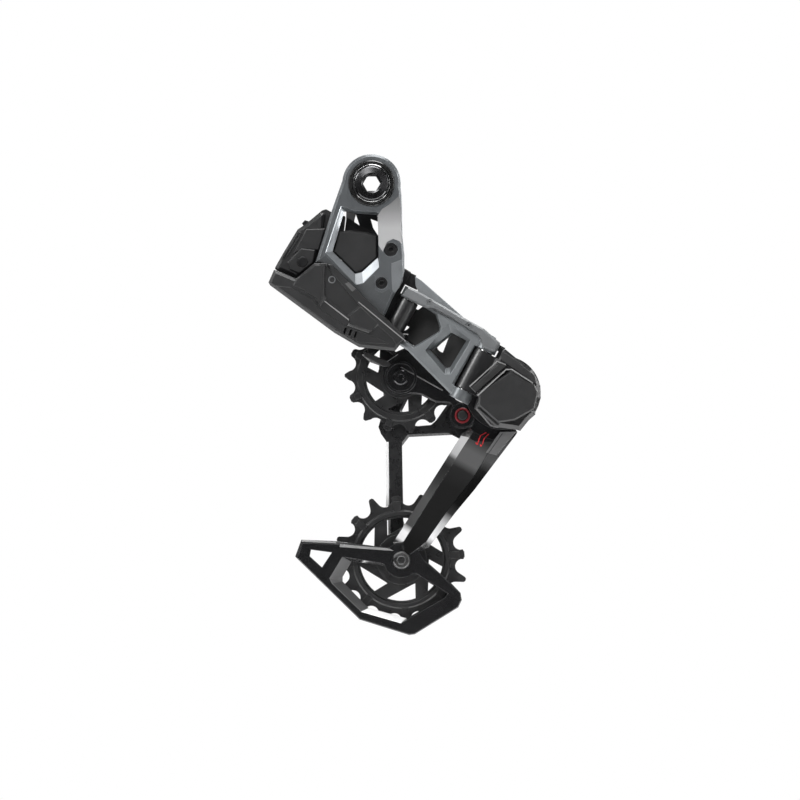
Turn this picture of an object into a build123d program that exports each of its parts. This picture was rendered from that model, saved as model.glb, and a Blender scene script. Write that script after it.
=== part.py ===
from build123d import *
import math
import os

os.makedirs("parts", exist_ok=True)

# Rear bicycle derailleur, direct-mount, wireless. Millimetres.
# Origin: middle of the dropout gap on the wheel axle's axis.
# +X forward, +Y inboard (towards the wheel), +Z up.

# ---------------------------------------------------------------- driving dimensions
CHAIN_PITCH = 12.7
UPPER_TEETH = 14
LOWER_TEETH = 16
GAP_HALF = 6.0                 # half the dropout gap
ARM_FRONT = -14.0              # outboard face of the outer mount arm
ARM_BACK = -GAP_HALF
EYE_R = 15.2                   # outer arm's eye
BOLT_R = 7.4                   # mount bolt shank
AXLE_BORE_R = 5.5              # bore for the M12 x 1 axle thread
HEX_AF = 8.0
INNER_ARM_Y = 9.5              # inboard face of the inner arm

# link pins lean forward at their tops; u runs along the links, a along the pins
PIN_X, PIN_Z = 21.2, -58.0
TILT = math.radians(28.0)
UX, UZ = math.cos(TILT), -math.sin(TILT)
AX, AZ = math.sin(TILT), math.cos(TILT)
YB_OUT, YB_IN = -8.0, 6.0      # pins in the mount knuckle
LINK_L = 49.0
REST = math.radians(17.2)      # links lean outboard at rest
U_P = LINK_L * math.cos(REST)
DY_P = -LINK_L * math.sin(REST)
YP_OUT, YP_IN = YB_OUT + DY_P, YB_IN + DY_P
PIN_R = 2.5
RUN = 0.05                     # radial running clearance
BUSH_R = 3.3

CAGE_X, CAGE_Z = 68.3, -108.8  # cage pivot
UPP_X, UPP_Z = 15.2, -100.6    # upper pulley
LOW_X, LOW_Z = 15.5, -196.4    # lower pulley
Y_CHAIN = 14.0                 # chain plane
PLATE_Y0, PLATE_Y1 = 5.8, 8.8  # outer cage plate
PLATE_FRONT = 2.8              # front of the raised beam
GUARD_FRONT = 3.4              # front of the guard loop
INNER_Y0, INNER_Y1 = 19.2, 21.7
LOCK_X, LOCK_Z = 47.6, -120.6  # cage lock button
BUTTON_X, BUTTON_Z = -20.5, -50.1  # pairing button
SPINDLE_R = 6.0

GEAR_M = 0.6                   # output gear module
GEAR_Z, PINION_Z = 30, 10
GEAR_C = GEAR_M * (GEAR_Z + PINION_Z) / 2


def ua(u, a):
    """World X, Z of a point given along the link (u) and along the pin (a)."""
    return (PIN_X + u * UX + a * AX, PIN_Z + u * UZ + a * AZ)


def pin_plane(a, u=0.0, y=0.0):
    """Plane square to the pins at height a: local x is u, local y is world Y."""
    x, z = ua(u, a)
    return Plane(origin=(x, y, z), x_dir=(UX, 0, UZ), z_dir=(AX, 0, AZ))


def side(y):
    """Side-view plane at depth y: local x, y are world X, Z; extrudes outboard."""
    return Plane.XZ.offset(-y)


def link_plane(y_pin, z=0.0):
    """Plane of a link's own flat: x along the link, y along the pins, z outboard."""
    c, s = math.cos(REST), math.sin(REST)
    n = (-UX * s, -c, -UZ * s)
    return Plane(
        origin=(PIN_X + n[0] * z, y_pin + n[1] * z, PIN_Z + n[2] * z),
        x_dir=(UX * c, -s, UZ * c),
        z_dir=n,
    )


def lk(pts):
    """Side-view link outline (u, a) laid onto the link's own plane."""
    return [(u / math.cos(REST), a) for u, a in pts]


def lkz(pts, z):
    """The same, for a face that stands z outboard of the link's middle."""
    return [((u + z * math.sin(REST)) / math.cos(REST), a) for u, a in pts]


def arc_pts(cx, cy, r, a0, a1, n):
    return [
        (
            cx + r * math.cos(math.radians(a0 + (a1 - a0) * i / n)),
            cy + r * math.sin(math.radians(a0 + (a1 - a0) * i / n)),
        )
        for i in range(n + 1)
    ]


def bevel(which, size):
    """Chamfer, easing off where a corner is too tight for the full width."""
    for share in (1.0, 0.75, 0.5, 0.3):
        try:
            chamfer(which, size * share)
            if share < 1.0:
                print("bevel eased to", round(size * share, 2))
            return
        except ValueError:
            continue
    print("no bevel of", size)


def bevel_long(which, size, least):
    """Chamfer the long straight edges only, one by one where they won't go together."""
    long_edges = [e for e in which if e.geom_type == GeomType.LINE and e.length > least]
    try:
        chamfer(long_edges, size)
        return
    except ValueError:
        pass
    for edge in long_edges:
        mid = edge @ 0.5
        now = [e for e in edges() if e.geom_type == GeomType.LINE
               and (e @ 0.5 - mid).length < size * 1.5
               and abs((e % 0.5).dot(edge % 0.5)) > 0.999 and abs((e @ 0.5 - mid).Y) < 1e-4]
        try:
            chamfer(now[:1], size)
        except ValueError:
            print("left sharp:", [round(v, 1) for v in mid])


def gear_tooth(m, z, centre_deg, play):
    """One short involute tooth, 25 degree pressure angle, as a closed outline."""
    alpha = math.radians(25)
    rp, rb = m * z / 2, m * z / 2 * math.cos(alpha)
    ra, rf = rp + 0.75 * m, rp - 1.05 * m
    inv = lambda t: math.tan(t) - t
    half = (math.pi * m / 2 - play) / (2 * rp)
    flank = []
    for i in range(7):
        r = max(rf, 0.1) + (ra - rf) * i / 6
        t = math.acos(min(1.0, rb / r)) if r > rb else 0.0
        flank.append((r, half + inv(alpha) - inv(t)))
    c = math.radians(centre_deg)
    left = [(r * math.cos(c + w), r * math.sin(c + w)) for r, w in flank]
    right = [(r * math.cos(c - w), r * math.sin(c - w)) for r, w in flank]
    r0 = rf - 0.5
    w0 = flank[0][1]
    left.insert(0, (r0 * math.cos(c + w0), r0 * math.sin(c + w0)))
    right.insert(0, (r0 * math.cos(c - w0), r0 * math.sin(c - w0)))
    return right + left[::-1]


# ---------------------------------------------------------------- outlines (X, Z)
ARM = [(-13.9, 5.0), (-20.7, -14.3), (-24.6, -27.2), (-29.1, -41.1), (-23.1, -41.1),
       (-18.2, -45.1), (-8.2, -56.0), (6.7, -68.9), (11.6, -58.0), (16.1, -51.0),
       (17.1, -45.1), (17.1, -37.1), (16.1, -27.2), (15.6, -6.3), (14.5, 3.6)]
ARM_WINDOW = [(-14.4, -14.2), (-8.1, -15.3), (2.3, -16.1), (3.4, -17.0), (3.4, -38.7),
              (-4.9, -46.2), (-8.7, -47.1), (-20.5, -35.4)]
ARM_BEVEL = [(-15.9, -11.8), (-8.2, -14.3), (2.2, -14.8), (4.0, -15.8), (4.0, -43.6),
             (-4.3, -51.9), (-8.2, -52.9), (-23.9, -36.0)]
PLATE5 = [(-17.2, -24.8), (-11.5, -24.2), (-2.3, -25.2), (3.0, -26.8), (3.0, -38.4),
          (-5.0, -45.7), (-8.6, -46.5), (-19.9, -35.5)]
BATTERY = [(-50.8, -44.2), (-46.1, -35.9), (-38.6, -23.6), (-34.2, -20.6), (-25.9, -13.7),
           (-23.8, -13.0), (-20.9, -14.5), (-13.8, -16.7), (-16.4, -40.8), (-29.5, -40.8),
           (-39.2, -49.2)]
BATTERY_FRONT = [(-50.2, -43.6), (-45.6, -35.6), (-38.2, -23.9), (-34.0, -21.1),
                 (-26.8, -15.2), (-24.6, -15.2), (-25.4, -26.8), (-30.2, -41.9),
                 (-39.1, -48.6)]
BOSS = [(-43.9, -41.0), (-36.7, -33.5), (-29.2, -34.4), (-30.6, -41.2), (-37.6, -46.8),
        (-42.8, -44.6)]
COVER = [(-50.5, -44.9), (-53.4, -51.5), (-52.5, -53.1), (-19.2, -77.7), (-6.5, -85.1),
         (12.2, -87.1), (14.9, -83.7), (17.5, -79.4), (6.9, -69.3), (-8.2, -56.4),
         (-18.4, -45.5), (-23.2, -41.5), (-29.6, -41.5), (-39.2, -49.7)]
P_MAIN = [(53.5, -2.1), (61.7, -3.8), (72.5, -5.4), (80.3, -10.6), (83.5, -16.2),
          (84.3, -23.6), (85.0, -25.0), (83.4, -29.3), (82.1, -36.1), (79.3, -36.8),
          (70.1, -40.1), (56.0, -36.7), (55.2, -30.4), (53.5, -30.4)]
P_COVER = [(71.9, -97.3), (84.2, -104.7), (85.8, -108.4), (83.9, -117.3), (73.8, -122.9),
           (65.1, -124.2), (55.0, -115.2), (55.4, -108.4)]
CAGE_EXT = [(-1.0, -92.6), (-5.0, -89.1), (-3.4, -85.6), (-0.7, -82.7), (3.4, -82.4),
            (12.7, -87.2), (20.6, -83.8), (38.0, -90.0), (56.0, -92.0), (60.0, -125.0),
            (50.0, -127.0), (41.6, -114.4), (33.5, -113.9), (25.8, -109.9),
            (18.3, -109.1), (10.0, -107.5), (6.4, -101.0), (5.8, -95.0)]
GUIDE_SLOT = [(-2.9, -86.2), (-1.4, -83.9), (3.2, -83.8), (11.6, -89.2), (8.0, -92.3),
              (2.6, -89.6), (-2.3, -87.4)]
BEAM = [(46.9, -131.2), (11.2, -187.4), (15.5, -197.0), (29.6, -189.8), (43.1, -172.2),
        (54.1, -159.0), (63.0, -147.2), (76.4, -129.4), (66.0, -112.0)]
BEAM_FACE = [(51.0, -132.4), (16.6, -186.8), (17.6, -195.0), (28.4, -186.8), (39.8, -170.2),
             (53.4, -152.6), (60.2, -141.4), (67.8, -129.2), (62.0, -114.0)]
GUARD = [(-37.0, -185.9), (-40.2, -194.6), (-6.4, -227.6), (19.6, -235.7), (22.6, -235.3),
         (45.4, -221.2), (47.2, -217.4), (46.6, -213.8), (41.8, -208.8), (27.2, -196.0),
         (22.0, -187.5), (10.6, -190.4), (-18.4, -186.6)]
GUARD_OPEN = [(-10.8, -197.3), (-15.5, -205.3), (-15.5, -208.0), (-1.8, -222.0),
              (18.0, -227.4), (37.4, -216.0), (39.0, -214.0), (22.7, -204.0), (5.0, -199.4)]
GUARD_FACE = [(-15.4, -194.6), (-22.2, -206.0), (-20.8, -208.7), (-5.5, -223.4),
              (15.4, -229.4), (38.2, -216.2), (39.9, -213.8), (23.3, -203.4), (4.6, -197.9)]
GUARD_TRI = [(-31.9, -190.9), (-20.9, -192.4), (-26.2, -200.4), (-32.6, -194.6)]
INNER = [(8.6, -94.0), (5.6, -101.0), (6.4, -116.0), (3.4, -126.8), (4.8, -130.5),
         (7.4, -134.2), (8.4, -165.4), (8.6, -188.0), (6.0, -196.4), (15.5, -206.0),
         (25.0, -196.4), (20.0, -188.0), (16.6, -176.0), (15.9, -136.8), (19.6, -132.1),
         (42.3, -131.0), (46.5, -133.2), (52.6, -138.2), (57.0, -126.0), (51.8, -113.6),
         (42.3, -111.4), (33.8, -123.4), (31.2, -125.7), (24.3, -126.3), (17.0, -125.6),
         (16.0, -118.0), (24.6, -101.0), (19.0, -92.0)]
LINK = [(-4.6, -1.6), (-4.6, 2.4), (20.0, 1.6), (46.8, 0.6), (46.8, -7.8), (41.2, -8.4),
        (40.6, -30.4), (46.8, -31.6), (46.8, -36.8), (43.6, -36.8), (30.0, -32.6),
        (11.4, -26.7), (0.0, -25.3), (0.0, -21.7), (13.1, -23.0), (20.7, -10.3),
        (20.2, -8.2), (15.0, -3.2)]
LINK_WINDOW = [(26.2, -7.7), (35.1, -7.8), (34.9, -11.0), (34.2, -24.0), (32.3, -25.5),
               (20.5, -21.0)]
LINK_WINDOW_FACE = [(23.4, -4.0), (37.5, -6.6), (37.8, -9.8), (36.7, -27.3), (34.2, -28.6),
                    (19.2, -22.4)]
BUMPER = [(-5.2, -3.1), (-4.3, 2.8), (4.4, 3.0), (27.0, 1.9), (40.4, 1.6), (51.0, -1.0),
          (51.0, -6.6), (44.6, -7.2), (41.4, -3.9), (38.3, -2.4), (22.6, -0.9),
          (12.4, -0.9), (9.3, -2.8)]
WING = [(-3.3, 9.2), (0.1, 8.9), (28.3, 2.0), (28.3, 0.6), (5.0, 0.6), (1.6, 3.2),
        (-0.8, 5.1)]

# ================================================================ mount knuckle
with BuildPart() as mount_arm_outer:
    with BuildSketch(side(ARM_BACK)):
        Polygon(*ARM, align=None)
        Circle(EYE_R)
        fillet([v for v in vertices() if v.Z < -40 and v.X < 0], 0.8)
    extrude(amount=ARM_BACK - ARM_FRONT)
    bevel(faces().sort_by(Axis.Y)[0].outer_wire().edges(), 1.3)
    # window with a broad bevel on its left and lower sides
    with BuildSketch(side(ARM_BACK)):
        Polygon(*ARM_WINDOW, align=None)
    extrude(amount=8, mode=Mode.SUBTRACT)
    with BuildSketch(side(ARM_FRONT + 3.4)):
        Polygon(*ARM_WINDOW, align=None)
    with BuildSketch(side(ARM_FRONT - 0.02)):
        Polygon(*ARM_BEVEL, align=None)
    loft(mode=Mode.SUBTRACT)
    with BuildSketch(side(ARM_BACK)):
        Circle(BOLT_R + RUN)
    extrude(amount=8, mode=Mode.SUBTRACT)
    with BuildSketch(side(ARM_FRONT + 1.6)):
        Circle(12.0)
    extrude(amount=1.6, mode=Mode.SUBTRACT)
    with BuildSketch(side(ARM_BACK)):
        with Locations((10.0, -34.4), (5.2, -51.8)):
            Circle(1.75)
    extrude(amount=8, mode=Mode.SUBTRACT)
    with BuildSketch(side(ARM_FRONT + 3.0)):
        with Locations((10.0, -34.4)):
            Circle(3.65)
        with Locations((5.2, -51.8)):
            Circle(3.15)
    extrude(amount=3.0, mode=Mode.SUBTRACT)
mount_arm_outer.part.label = "mount_arm_outer"
export_step(mount_arm_outer.part, "parts/mount_arm_outer.step")

COVER_SCREWS = [(-14.0, -67.0), (-34.0, -55.0)]
# housing: inner arm, body block, motor bay, outer barrel and inner ears
HOUSE_BODY = [(-13.4, -26.8), (-2.3, -26.8), (4.5, -28.8), (14.4, -30.0), (15.0, -45.0),
              ua(-9.8, 9.9), ua(-6.3, 9.9), ua(-6.3, -21.2), (-6.0, -79.5), (-19.0, -74.5),
              (-47.0, -53.6), (-39.4, -49.9), (-29.7, -41.4), (-15.9, -41.4)]
HOUSE_INNER = [(-12.9, -20.0), (-2.3, -26.8), (4.5, -28.8), (14.4, -20.0), (15.0, -45.0),
               ua(-9.8, 9.9), ua(-6.3, 9.9), ua(-6.3, -18.4), (-8.0, -64.0),
               (-20.0, -46.0), (-15.9, -41.4)]
with BuildPart() as b_knuckle_housing:
    with BuildSketch(side(5.0)):
        Polygon(*HOUSE_BODY, align=None)
    extrude(amount=11.0)
    with BuildSketch(side(INNER_ARM_Y)):
        Polygon(*HOUSE_INNER, align=None)
    extrude(amount=4.5)
    # inner arm with its eye and two windows
    with BuildSketch(side(INNER_ARM_Y)):
        Polygon((-12.4, -4.0), (-13.0, -16.0), (-12.9, -30.0), (14.4, -30.0), (14.4, -8.0),
                (12.4, 4.0), align=None)
        Circle(13.0)
        Polygon((-8.4, -15.0), (-6.2, -21.4), (-10.2, -19.8), align=None,
                mode=Mode.SUBTRACT)
        Polygon((-0.6, -17.4), (3.3, -18.9), (3.3, -26.2), (0.7, -22.2), align=None,
                mode=Mode.SUBTRACT)
    extrude(amount=INNER_ARM_Y - GAP_HALF)
    with BuildSketch(side(INNER_ARM_Y)):
        Polygon((-11.6, -22.6), (-4.4, -22.6), (-2.6, -26.6), (-11.8, -26.6), align=None)
    extrude(amount=3.5, mode=Mode.SUBTRACT)
    # motor bay, lying along the pins
    with BuildSketch(pin_plane(-10.6)):
        with Locations((-GEAR_C, YB_IN)):
            Circle(5.9)
    extrude(amount=20.4)
    # room for the output gear sector and the pinion
    with BuildSketch(pin_plane(-9.7)):
        with Locations((0, YB_IN)):
            Circle(10.0)
        with Locations((-GEAR_C, YB_IN)):
            Circle(4.0)
    extrude(amount=4.4, mode=Mode.SUBTRACT)
    with BuildSketch(pin_plane(-5.3)):
        with Locations((-GEAR_C, YB_IN)):
            Circle(4.65)
    extrude(amount=16, mode=Mode.SUBTRACT)
    with BuildSketch(pin_plane(9.8)):
        with Locations((-GEAR_C, YB_IN)):
            Circle(5.8)
    extrude(amount=16, mode=Mode.SUBTRACT)
    # outer barrel on its web
    with BuildSketch(pin_plane(-21.2)):
        with Locations((0, YB_OUT)):
            Circle(5.0)
        with Locations((-4.0, -3.3)):
            Rectangle(8.0, 5.4)
        with Locations((-2.3, -5.0)):
            Rectangle(4.6, 6.0)
    extrude(amount=18.0)
    with BuildSketch(pin_plane(-9.7)):
        with Locations((0, YB_IN)):
            Circle(10.0)
    extrude(amount=4.4, mode=Mode.SUBTRACT)
    # shroud over the top of the outer pin
    with BuildSketch(side(-1.0)):
        Polygon(ua(-9.8, 9.9), ua(-3.2, 10.1), ua(0.8, 3.7), ua(-9.8, 3.2), align=None)
    extrude(amount=4.9)
    with BuildSketch(side(-5.9)):
        Polygon(ua(-5.4, 9.9), ua(-3.2, 10.1), ua(0.8, 3.7), ua(-3.6, 3.3), align=None)
    extrude(amount=3.4)
    # ears for the inner pin
    with BuildSketch(pin_plane(-18.4), pin_plane(-4.6)):
        with Locations((0, YB_IN)):
            Circle(4.5)
        with Locations((-3.6, YB_IN)):
            Rectangle(7.2, 9.0)
    extrude(amount=3.0)
    # pin bores
    with BuildSketch(pin_plane(-22.0)):
        with Locations((0, YB_OUT), (0, YB_IN)):
            Circle(PIN_R + 0.02)
    extrude(amount=22.0, mode=Mode.SUBTRACT)
    # mount insert seat
    with BuildSketch(side(INNER_ARM_Y)):
        Circle(9.5)
    extrude(amount=3.5, mode=Mode.SUBTRACT)
    # electronics pocket behind the pentagon plate
    with BuildSketch(side(-0.5)):
        Polygon((-12.0, -29.5), (1.5, -30.5), (1.5, -39.0), (-5.4, -45.4), (-11.8, -40.4),
                align=None)
    extrude(amount=5.5, mode=Mode.SUBTRACT)
    # screw holes for the arm and the skid cover
    with BuildSketch(side(-1.0)):
        with Locations((10.0, -34.4), (5.2, -51.8)):
            Circle(1.3)
    extrude(amount=5.0, mode=Mode.SUBTRACT)
    with BuildSketch(side(6.0)):
        with Locations(*COVER_SCREWS):
            Circle(1.15)
    extrude(amount=12.0, mode=Mode.SUBTRACT)
    # battery contact recess
    with BuildSketch(side(3.0)):
        Polygon((-15.2, -30.5), (-12.9, -30.5), (-13.4, -37.5), (-16.2, -37.5), align=None)
    extrude(amount=6.0, mode=Mode.SUBTRACT)
b_knuckle_housing.part.label = "b_knuckle_housing"
export_step(b_knuckle_housing.part, "parts/b_knuckle_housing.step")

with BuildPart() as mount_bolt:
    with BuildSketch(Plane.YZ):
        with BuildLine():
            Polyline((ARM_FRONT - 1.4, 0), (ARM_FRONT - 1.4, 5.6), (ARM_FRONT - 2.2, 6.4),
                     (ARM_FRONT - 2.2, 8.2), (ARM_FRONT - 1.6, 8.75), (ARM_FRONT + 1.6, 8.75),
                     (ARM_FRONT + 1.6, BOLT_R), (13.0, BOLT_R), (13.5, 6.9), (13.5, 0),
                     close=True)
        make_face()
    revolve(axis=Axis.Y)
    with BuildSketch(side(14.0)):
        Circle(AXLE_BORE_R)
    extrude(amount=20.0, mode=Mode.SUBTRACT)
    with BuildSketch(side(-5.0)):
        RegularPolygon(HEX_AF / 2, 6, major_radius=False)
    extrude(amount=13.0, mode=Mode.SUBTRACT)
mount_bolt.part.label = "mount_bolt"
export_step(mount_bolt.part, "parts/mount_bolt.step")

with BuildPart() as mount_insert:
    with BuildSketch(side(INNER_ARM_Y + 0.6)):
        Circle(9.45)
        Circle(BOLT_R + RUN, mode=Mode.SUBTRACT)
    extrude(amount=INNER_ARM_Y + 0.6 - GAP_HALF)
    with BuildSketch(side(11.0)):
        Circle(10.6)
        Circle(BOLT_R + RUN, mode=Mode.SUBTRACT)
    extrude(amount=11.0 - INNER_ARM_Y)
    bevel(edges().filter_by(GeomType.CIRCLE).group_by(Axis.Y)[-1].sort_by(
        SortBy.RADIUS)[-1:], 0.5)
mount_insert.part.label = "mount_insert"
export_step(mount_insert.part, "parts/mount_insert.step")

with BuildPart() as bolt_ring_dark:
    with BuildSketch(side(ARM_FRONT + 1.6)):
        Circle(11.9)
        Circle(9.9, mode=Mode.SUBTRACT)
    extrude(amount=2.6)
    bevel(edges().filter_by(GeomType.CIRCLE).group_by(Axis.Y)[0], 0.5)
bolt_ring_dark.part.label = "bolt_ring_dark"
export_step(bolt_ring_dark.part, "parts/bolt_ring_dark.step")

with BuildPart() as bolt_ring_bright:
    with BuildSketch(side(ARM_FRONT + 1.6)):
        Circle(9.85)
        Circle(8.8, mode=Mode.SUBTRACT)
    extrude(amount=3.0)
    bevel(edges().filter_by(GeomType.CIRCLE).group_by(Axis.Y)[0], 0.3)
bolt_ring_bright.part.label = "bolt_ring_bright"
export_step(bolt_ring_bright.part, "parts/bolt_ring_bright.step")

with BuildPart() as arm_screw_upper:
    with BuildSketch(side(ARM_FRONT + 3.0)):
        with Locations((10.0, -34.4)):
            Circle(3.6)
    extrude(amount=2.9)
    bevel(edges().filter_by(GeomType.CIRCLE).group_by(Axis.Y)[0], 0.4)
    with BuildSketch(side(-2.0)):
        with Locations((10.0, -34.4)):
            Circle(1.25)
    extrude(amount=9.0)
    with BuildSketch(side(ARM_FRONT + 1.6)):
        with Locations((10.0, -34.4)):
            RegularPolygon(1.25, 6, major_radius=False)
    extrude(amount=4.0, mode=Mode.SUBTRACT)
arm_screw_upper.part.label = "arm_screw_upper"
export_step(arm_screw_upper.part, "parts/arm_screw_upper.step")

with BuildPart() as arm_screw_lower:
    with BuildSketch(side(ARM_FRONT + 3.0)):
        with Locations((5.2, -51.8)):
            Circle(3.1)
    extrude(amount=2.9)
    bevel(edges().filter_by(GeomType.CIRCLE).group_by(Axis.Y)[0], 0.4)
    with BuildSketch(side(-2.0)):
        with Locations((5.2, -51.8)):
            Circle(1.25)
    extrude(amount=9.0)
    with BuildSketch(side(ARM_FRONT + 1.6)):
        with Locations((5.2, -51.8)):
            RegularPolygon(1.25, 6, major_radius=False)
    extrude(amount=4.0, mode=Mode.SUBTRACT)
arm_screw_lower.part.label = "arm_screw_lower"
export_step(arm_screw_lower.part, "parts/arm_screw_lower.step")

# skid cover: a shell over the knuckle's lower outboard side
with BuildPart() as skid_cover:
    with BuildSketch(side(-14.0)):
        Polygon(*COVER, align=None)
    extrude(amount=3.4)
    bevel(faces().sort_by(Axis.Y)[0].outer_wire().edges(), 1.5)
    with BuildSketch(side(-6.05)):
        Polygon((-49.6, -46.0), (-52.0, -52.0), (-19.4, -76.4), (-7.4, -82.6),
                (-1.0, -79.8), (3.4, -72.4), (-0.4, -64.0), (-8.6, -57.2), (-18.6, -46.4),
                (-23.4, -42.4), (-29.6, -42.2), (-39.4, -50.4), align=None)
    extrude(amount=8.0)
    # recess between the upper facets
    with BuildSketch(side(-16.6)):
        Polygon((-23.8, -43.2), (-18.6, -47.4), (-9.4, -57.2), (-5.8, -63.2),
                (-12.4, -68.6), (-24.2, -58.8), align=None)
    extrude(amount=2.0, mode=Mode.SUBTRACT)
    # raised facets
    with BuildSketch(side(-17.3)):
        Polygon((-38.6, -49.4), (-29.2, -42.2), (-24.7, -42.4), (-24.7, -58.8),
                (-27.4, -63.8), (-29.3, -59.5), (-40.8, -53.2), align=None)
    extrude(amount=0.9, taper=35)
    with BuildSketch(side(-17.3)):
        Polygon((-12.2, -68.9), (-5.7, -63.9), (3.8, -72.8), (0.2, -77.4), (-11.5, -73.4),
                align=None)
    extrude(amount=1.0, taper=30)
    with BuildSketch(side(-17.3)):
        Polygon((-29.8, -60.6), (-27.0, -65.2), (-12.6, -74.8), (0.6, -79.0),
                (9.8, -83.6), (-6.0, -82.9), (-19.0, -75.6), (-49.6, -53.2),
                (-42.4, -54.0), align=None)
    extrude(amount=0.6, taper=20)
    with BuildSketch(side(-17.3)):
        Polygon((-8.6, -57.6), (-6.6, -59.2), (8.0, -71.6), (15.4, -79.6), (13.2, -81.4),
                (4.4, -74.0), (-5.4, -62.6), align=None)
    extrude(amount=0.5)
    # pairing button's hole with its lamp ring
    with BuildSketch(side(-13.0)):
        with Locations((BUTTON_X, BUTTON_Z)):
            Circle(1.35)
    extrude(amount=8.0, mode=Mode.SUBTRACT)
    with BuildSketch(side(-15.9)):
        with Locations((BUTTON_X, BUTTON_Z)):
            Circle(1.95)
    extrude(amount=4.0, mode=Mode.SUBTRACT)
    # screw holes from the inboard side
    with BuildSketch(side(-6.0)):
        with Locations(*COVER_SCREWS):
            Circle(1.1)
    extrude(amount=6.5, mode=Mode.SUBTRACT)
    # vent slots near the lower corner
    with BuildSketch(side(-15.6)):
        with Locations((-13.6, -76.6), (-10.9, -77.6), (-8.2, -78.6)):
            SlotOverall(3.6, 1.3, rotation=70)
    extrude(amount=4.0, mode=Mode.SUBTRACT)
skid_cover.part.label = "skid_cover"
export_step(skid_cover.part, "parts/skid_cover.step")

with BuildPart() as cover_screws:
    with BuildSketch(side(6.3)):
        with Locations(*COVER_SCREWS):
            Circle(2.0)
            RegularPolygon(0.9, 6, major_radius=False, mode=Mode.SUBTRACT)
    extrude(amount=1.3)
    with BuildSketch(side(5.0)):
        with Locations(*COVER_SCREWS):
            Circle(1.05)
    extrude(amount=16.5)
cover_screws.part.label = "cover_screws"
export_step(cover_screws.part, "parts/cover_screws.step")

with BuildPart() as window_plate:
    with BuildSketch(side(-6.05)):
        Polygon(*PLATE5, align=None)
    extrude(amount=4.6)
    bevel(faces().sort_by(Axis.Y)[0].outer_wire().edges(), 0.9)
window_plate.part.label = "window_plate"
export_step(window_plate.part, "parts/window_plate.step")

with BuildPart() as gearmotor_can:
    with BuildSketch(pin_plane(-5.2)):
        with Locations((-GEAR_C, YB_IN)):
            Circle(4.6)
    extrude(amount=12.6)
    bevel(edges().filter_by(GeomType.CIRCLE), 0.4)
    with BuildSketch(pin_plane(-5.3)):
        with Locations((-GEAR_C, YB_IN)):
            Circle(1.0 + RUN)
    extrude(amount=7.0, mode=Mode.SUBTRACT)
gearmotor_can.part.label = "gearmotor_can"
export_step(gearmotor_can.part, "parts/gearmotor_can.step")

with BuildPart() as motor_bay_cap:
    with BuildSketch(pin_plane(7.6)):
        with Locations((-GEAR_C, YB_IN)):
            Circle(4.6)
    extrude(amount=2.2)
    with BuildSketch(pin_plane(9.8)):
        with Locations((-GEAR_C, YB_IN)):
            Circle(5.7)
    extrude(amount=1.0)
    bevel(edges().filter_by(GeomType.CIRCLE).sort_by(SortBy.RADIUS)[-1:], 0.3)
motor_bay_cap.part.label = "motor_bay_cap"
export_step(motor_bay_cap.part, "parts/motor_bay_cap.step")

with BuildPart() as motor_pinion:
    with BuildSketch(pin_plane(-9.0)):
        with Locations((-GEAR_C, YB_IN)):
            Circle(GEAR_M * PINION_Z / 2 - 1.05 * GEAR_M)
            for i in range(PINION_Z):
                Polygon(*gear_tooth(GEAR_M, PINION_Z, i * 360 / PINION_Z, 0.14), align=None)
    extrude(amount=3.0)
    with BuildSketch(pin_plane(-6.0)):
        with Locations((-GEAR_C, YB_IN)):
            Circle(1.0)
    extrude(amount=6.0)
motor_pinion.part.label = "motor_pinion"
export_step(motor_pinion.part, "parts/motor_pinion.step")

with BuildPart() as circuit_board:
    with BuildSketch(side(-2.6)):
        Polygon((-11.6, -30.0), (1.1, -31.0), (1.1, -38.8), (-5.4, -44.8), (-11.4, -40.2),
                align=None)
    extrude(amount=1.2)
    with BuildSketch(side(-3.8)):
        with Locations((-3.0, -35.5)):
            Rectangle(4.0, 4.0)
        with Locations((-8.6, -33.6)):
            Rectangle(2.4, 3.0)
        with Locations((-7.6, -39.4)):
            Rectangle(3.0, 2.0)
    extrude(amount=1.0)
circuit_board.part.label = "circuit_board"
export_step(circuit_board.part, "parts/circuit_board.step")

with BuildPart() as battery_contacts:
    for y in (1.6, -0.8):
        with BuildSketch(side(y)):
            Polygon((-15.1, -31.0), (-13.1, -31.0), (-13.6, -37.0), (-15.8, -37.0),
                    align=None)
        extrude(amount=1.4)
battery_contacts.part.label = "battery_contacts"
export_step(battery_contacts.part, "parts/battery_contacts.step")

# status lamp: a ring round the pairing button
with BuildPart() as lamp_lens:
    with BuildSketch(side(-15.95)):
        with Locations((BUTTON_X, BUTTON_Z)):
            Circle(1.9)
            Circle(1.4, mode=Mode.SUBTRACT)
    extrude(amount=0.9)
lamp_lens.part.label = "lamp_lens"
export_step(lamp_lens.part, "parts/lamp_lens.step")

with BuildPart() as pairing_button:
    with BuildSketch(side(-13.9)):
        with Locations((BUTTON_X, BUTTON_Z)):
            Circle(1.3)
    extrude(amount=3.3)
    bevel(edges().filter_by(GeomType.CIRCLE).group_by(Axis.Y)[0], 0.3)
pairing_button.part.label = "pairing_button"
export_step(pairing_button.part, "parts/pairing_button.step")

with BuildPart() as pin_b_outer:
    with BuildSketch(pin_plane(-26.0)):
        with Locations((0, YB_OUT)):
            Circle(PIN_R)
    extrude(amount=28.9)
    bevel(edges().filter_by(GeomType.CIRCLE), 0.3)
pin_b_outer.part.label = "pin_b_outer"
export_step(pin_b_outer.part, "parts/pin_b_outer.step")

with BuildPart() as pin_b_inner:
    with BuildSketch(pin_plane(-19.2)):
        with Locations((0, YB_IN)):
            Circle(PIN_R)
    extrude(amount=18.2)
    bevel(edges().filter_by(GeomType.CIRCLE), 0.3)
pin_b_inner.part.label = "pin_b_inner"
export_step(pin_b_inner.part, "parts/pin_b_inner.step")

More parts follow.
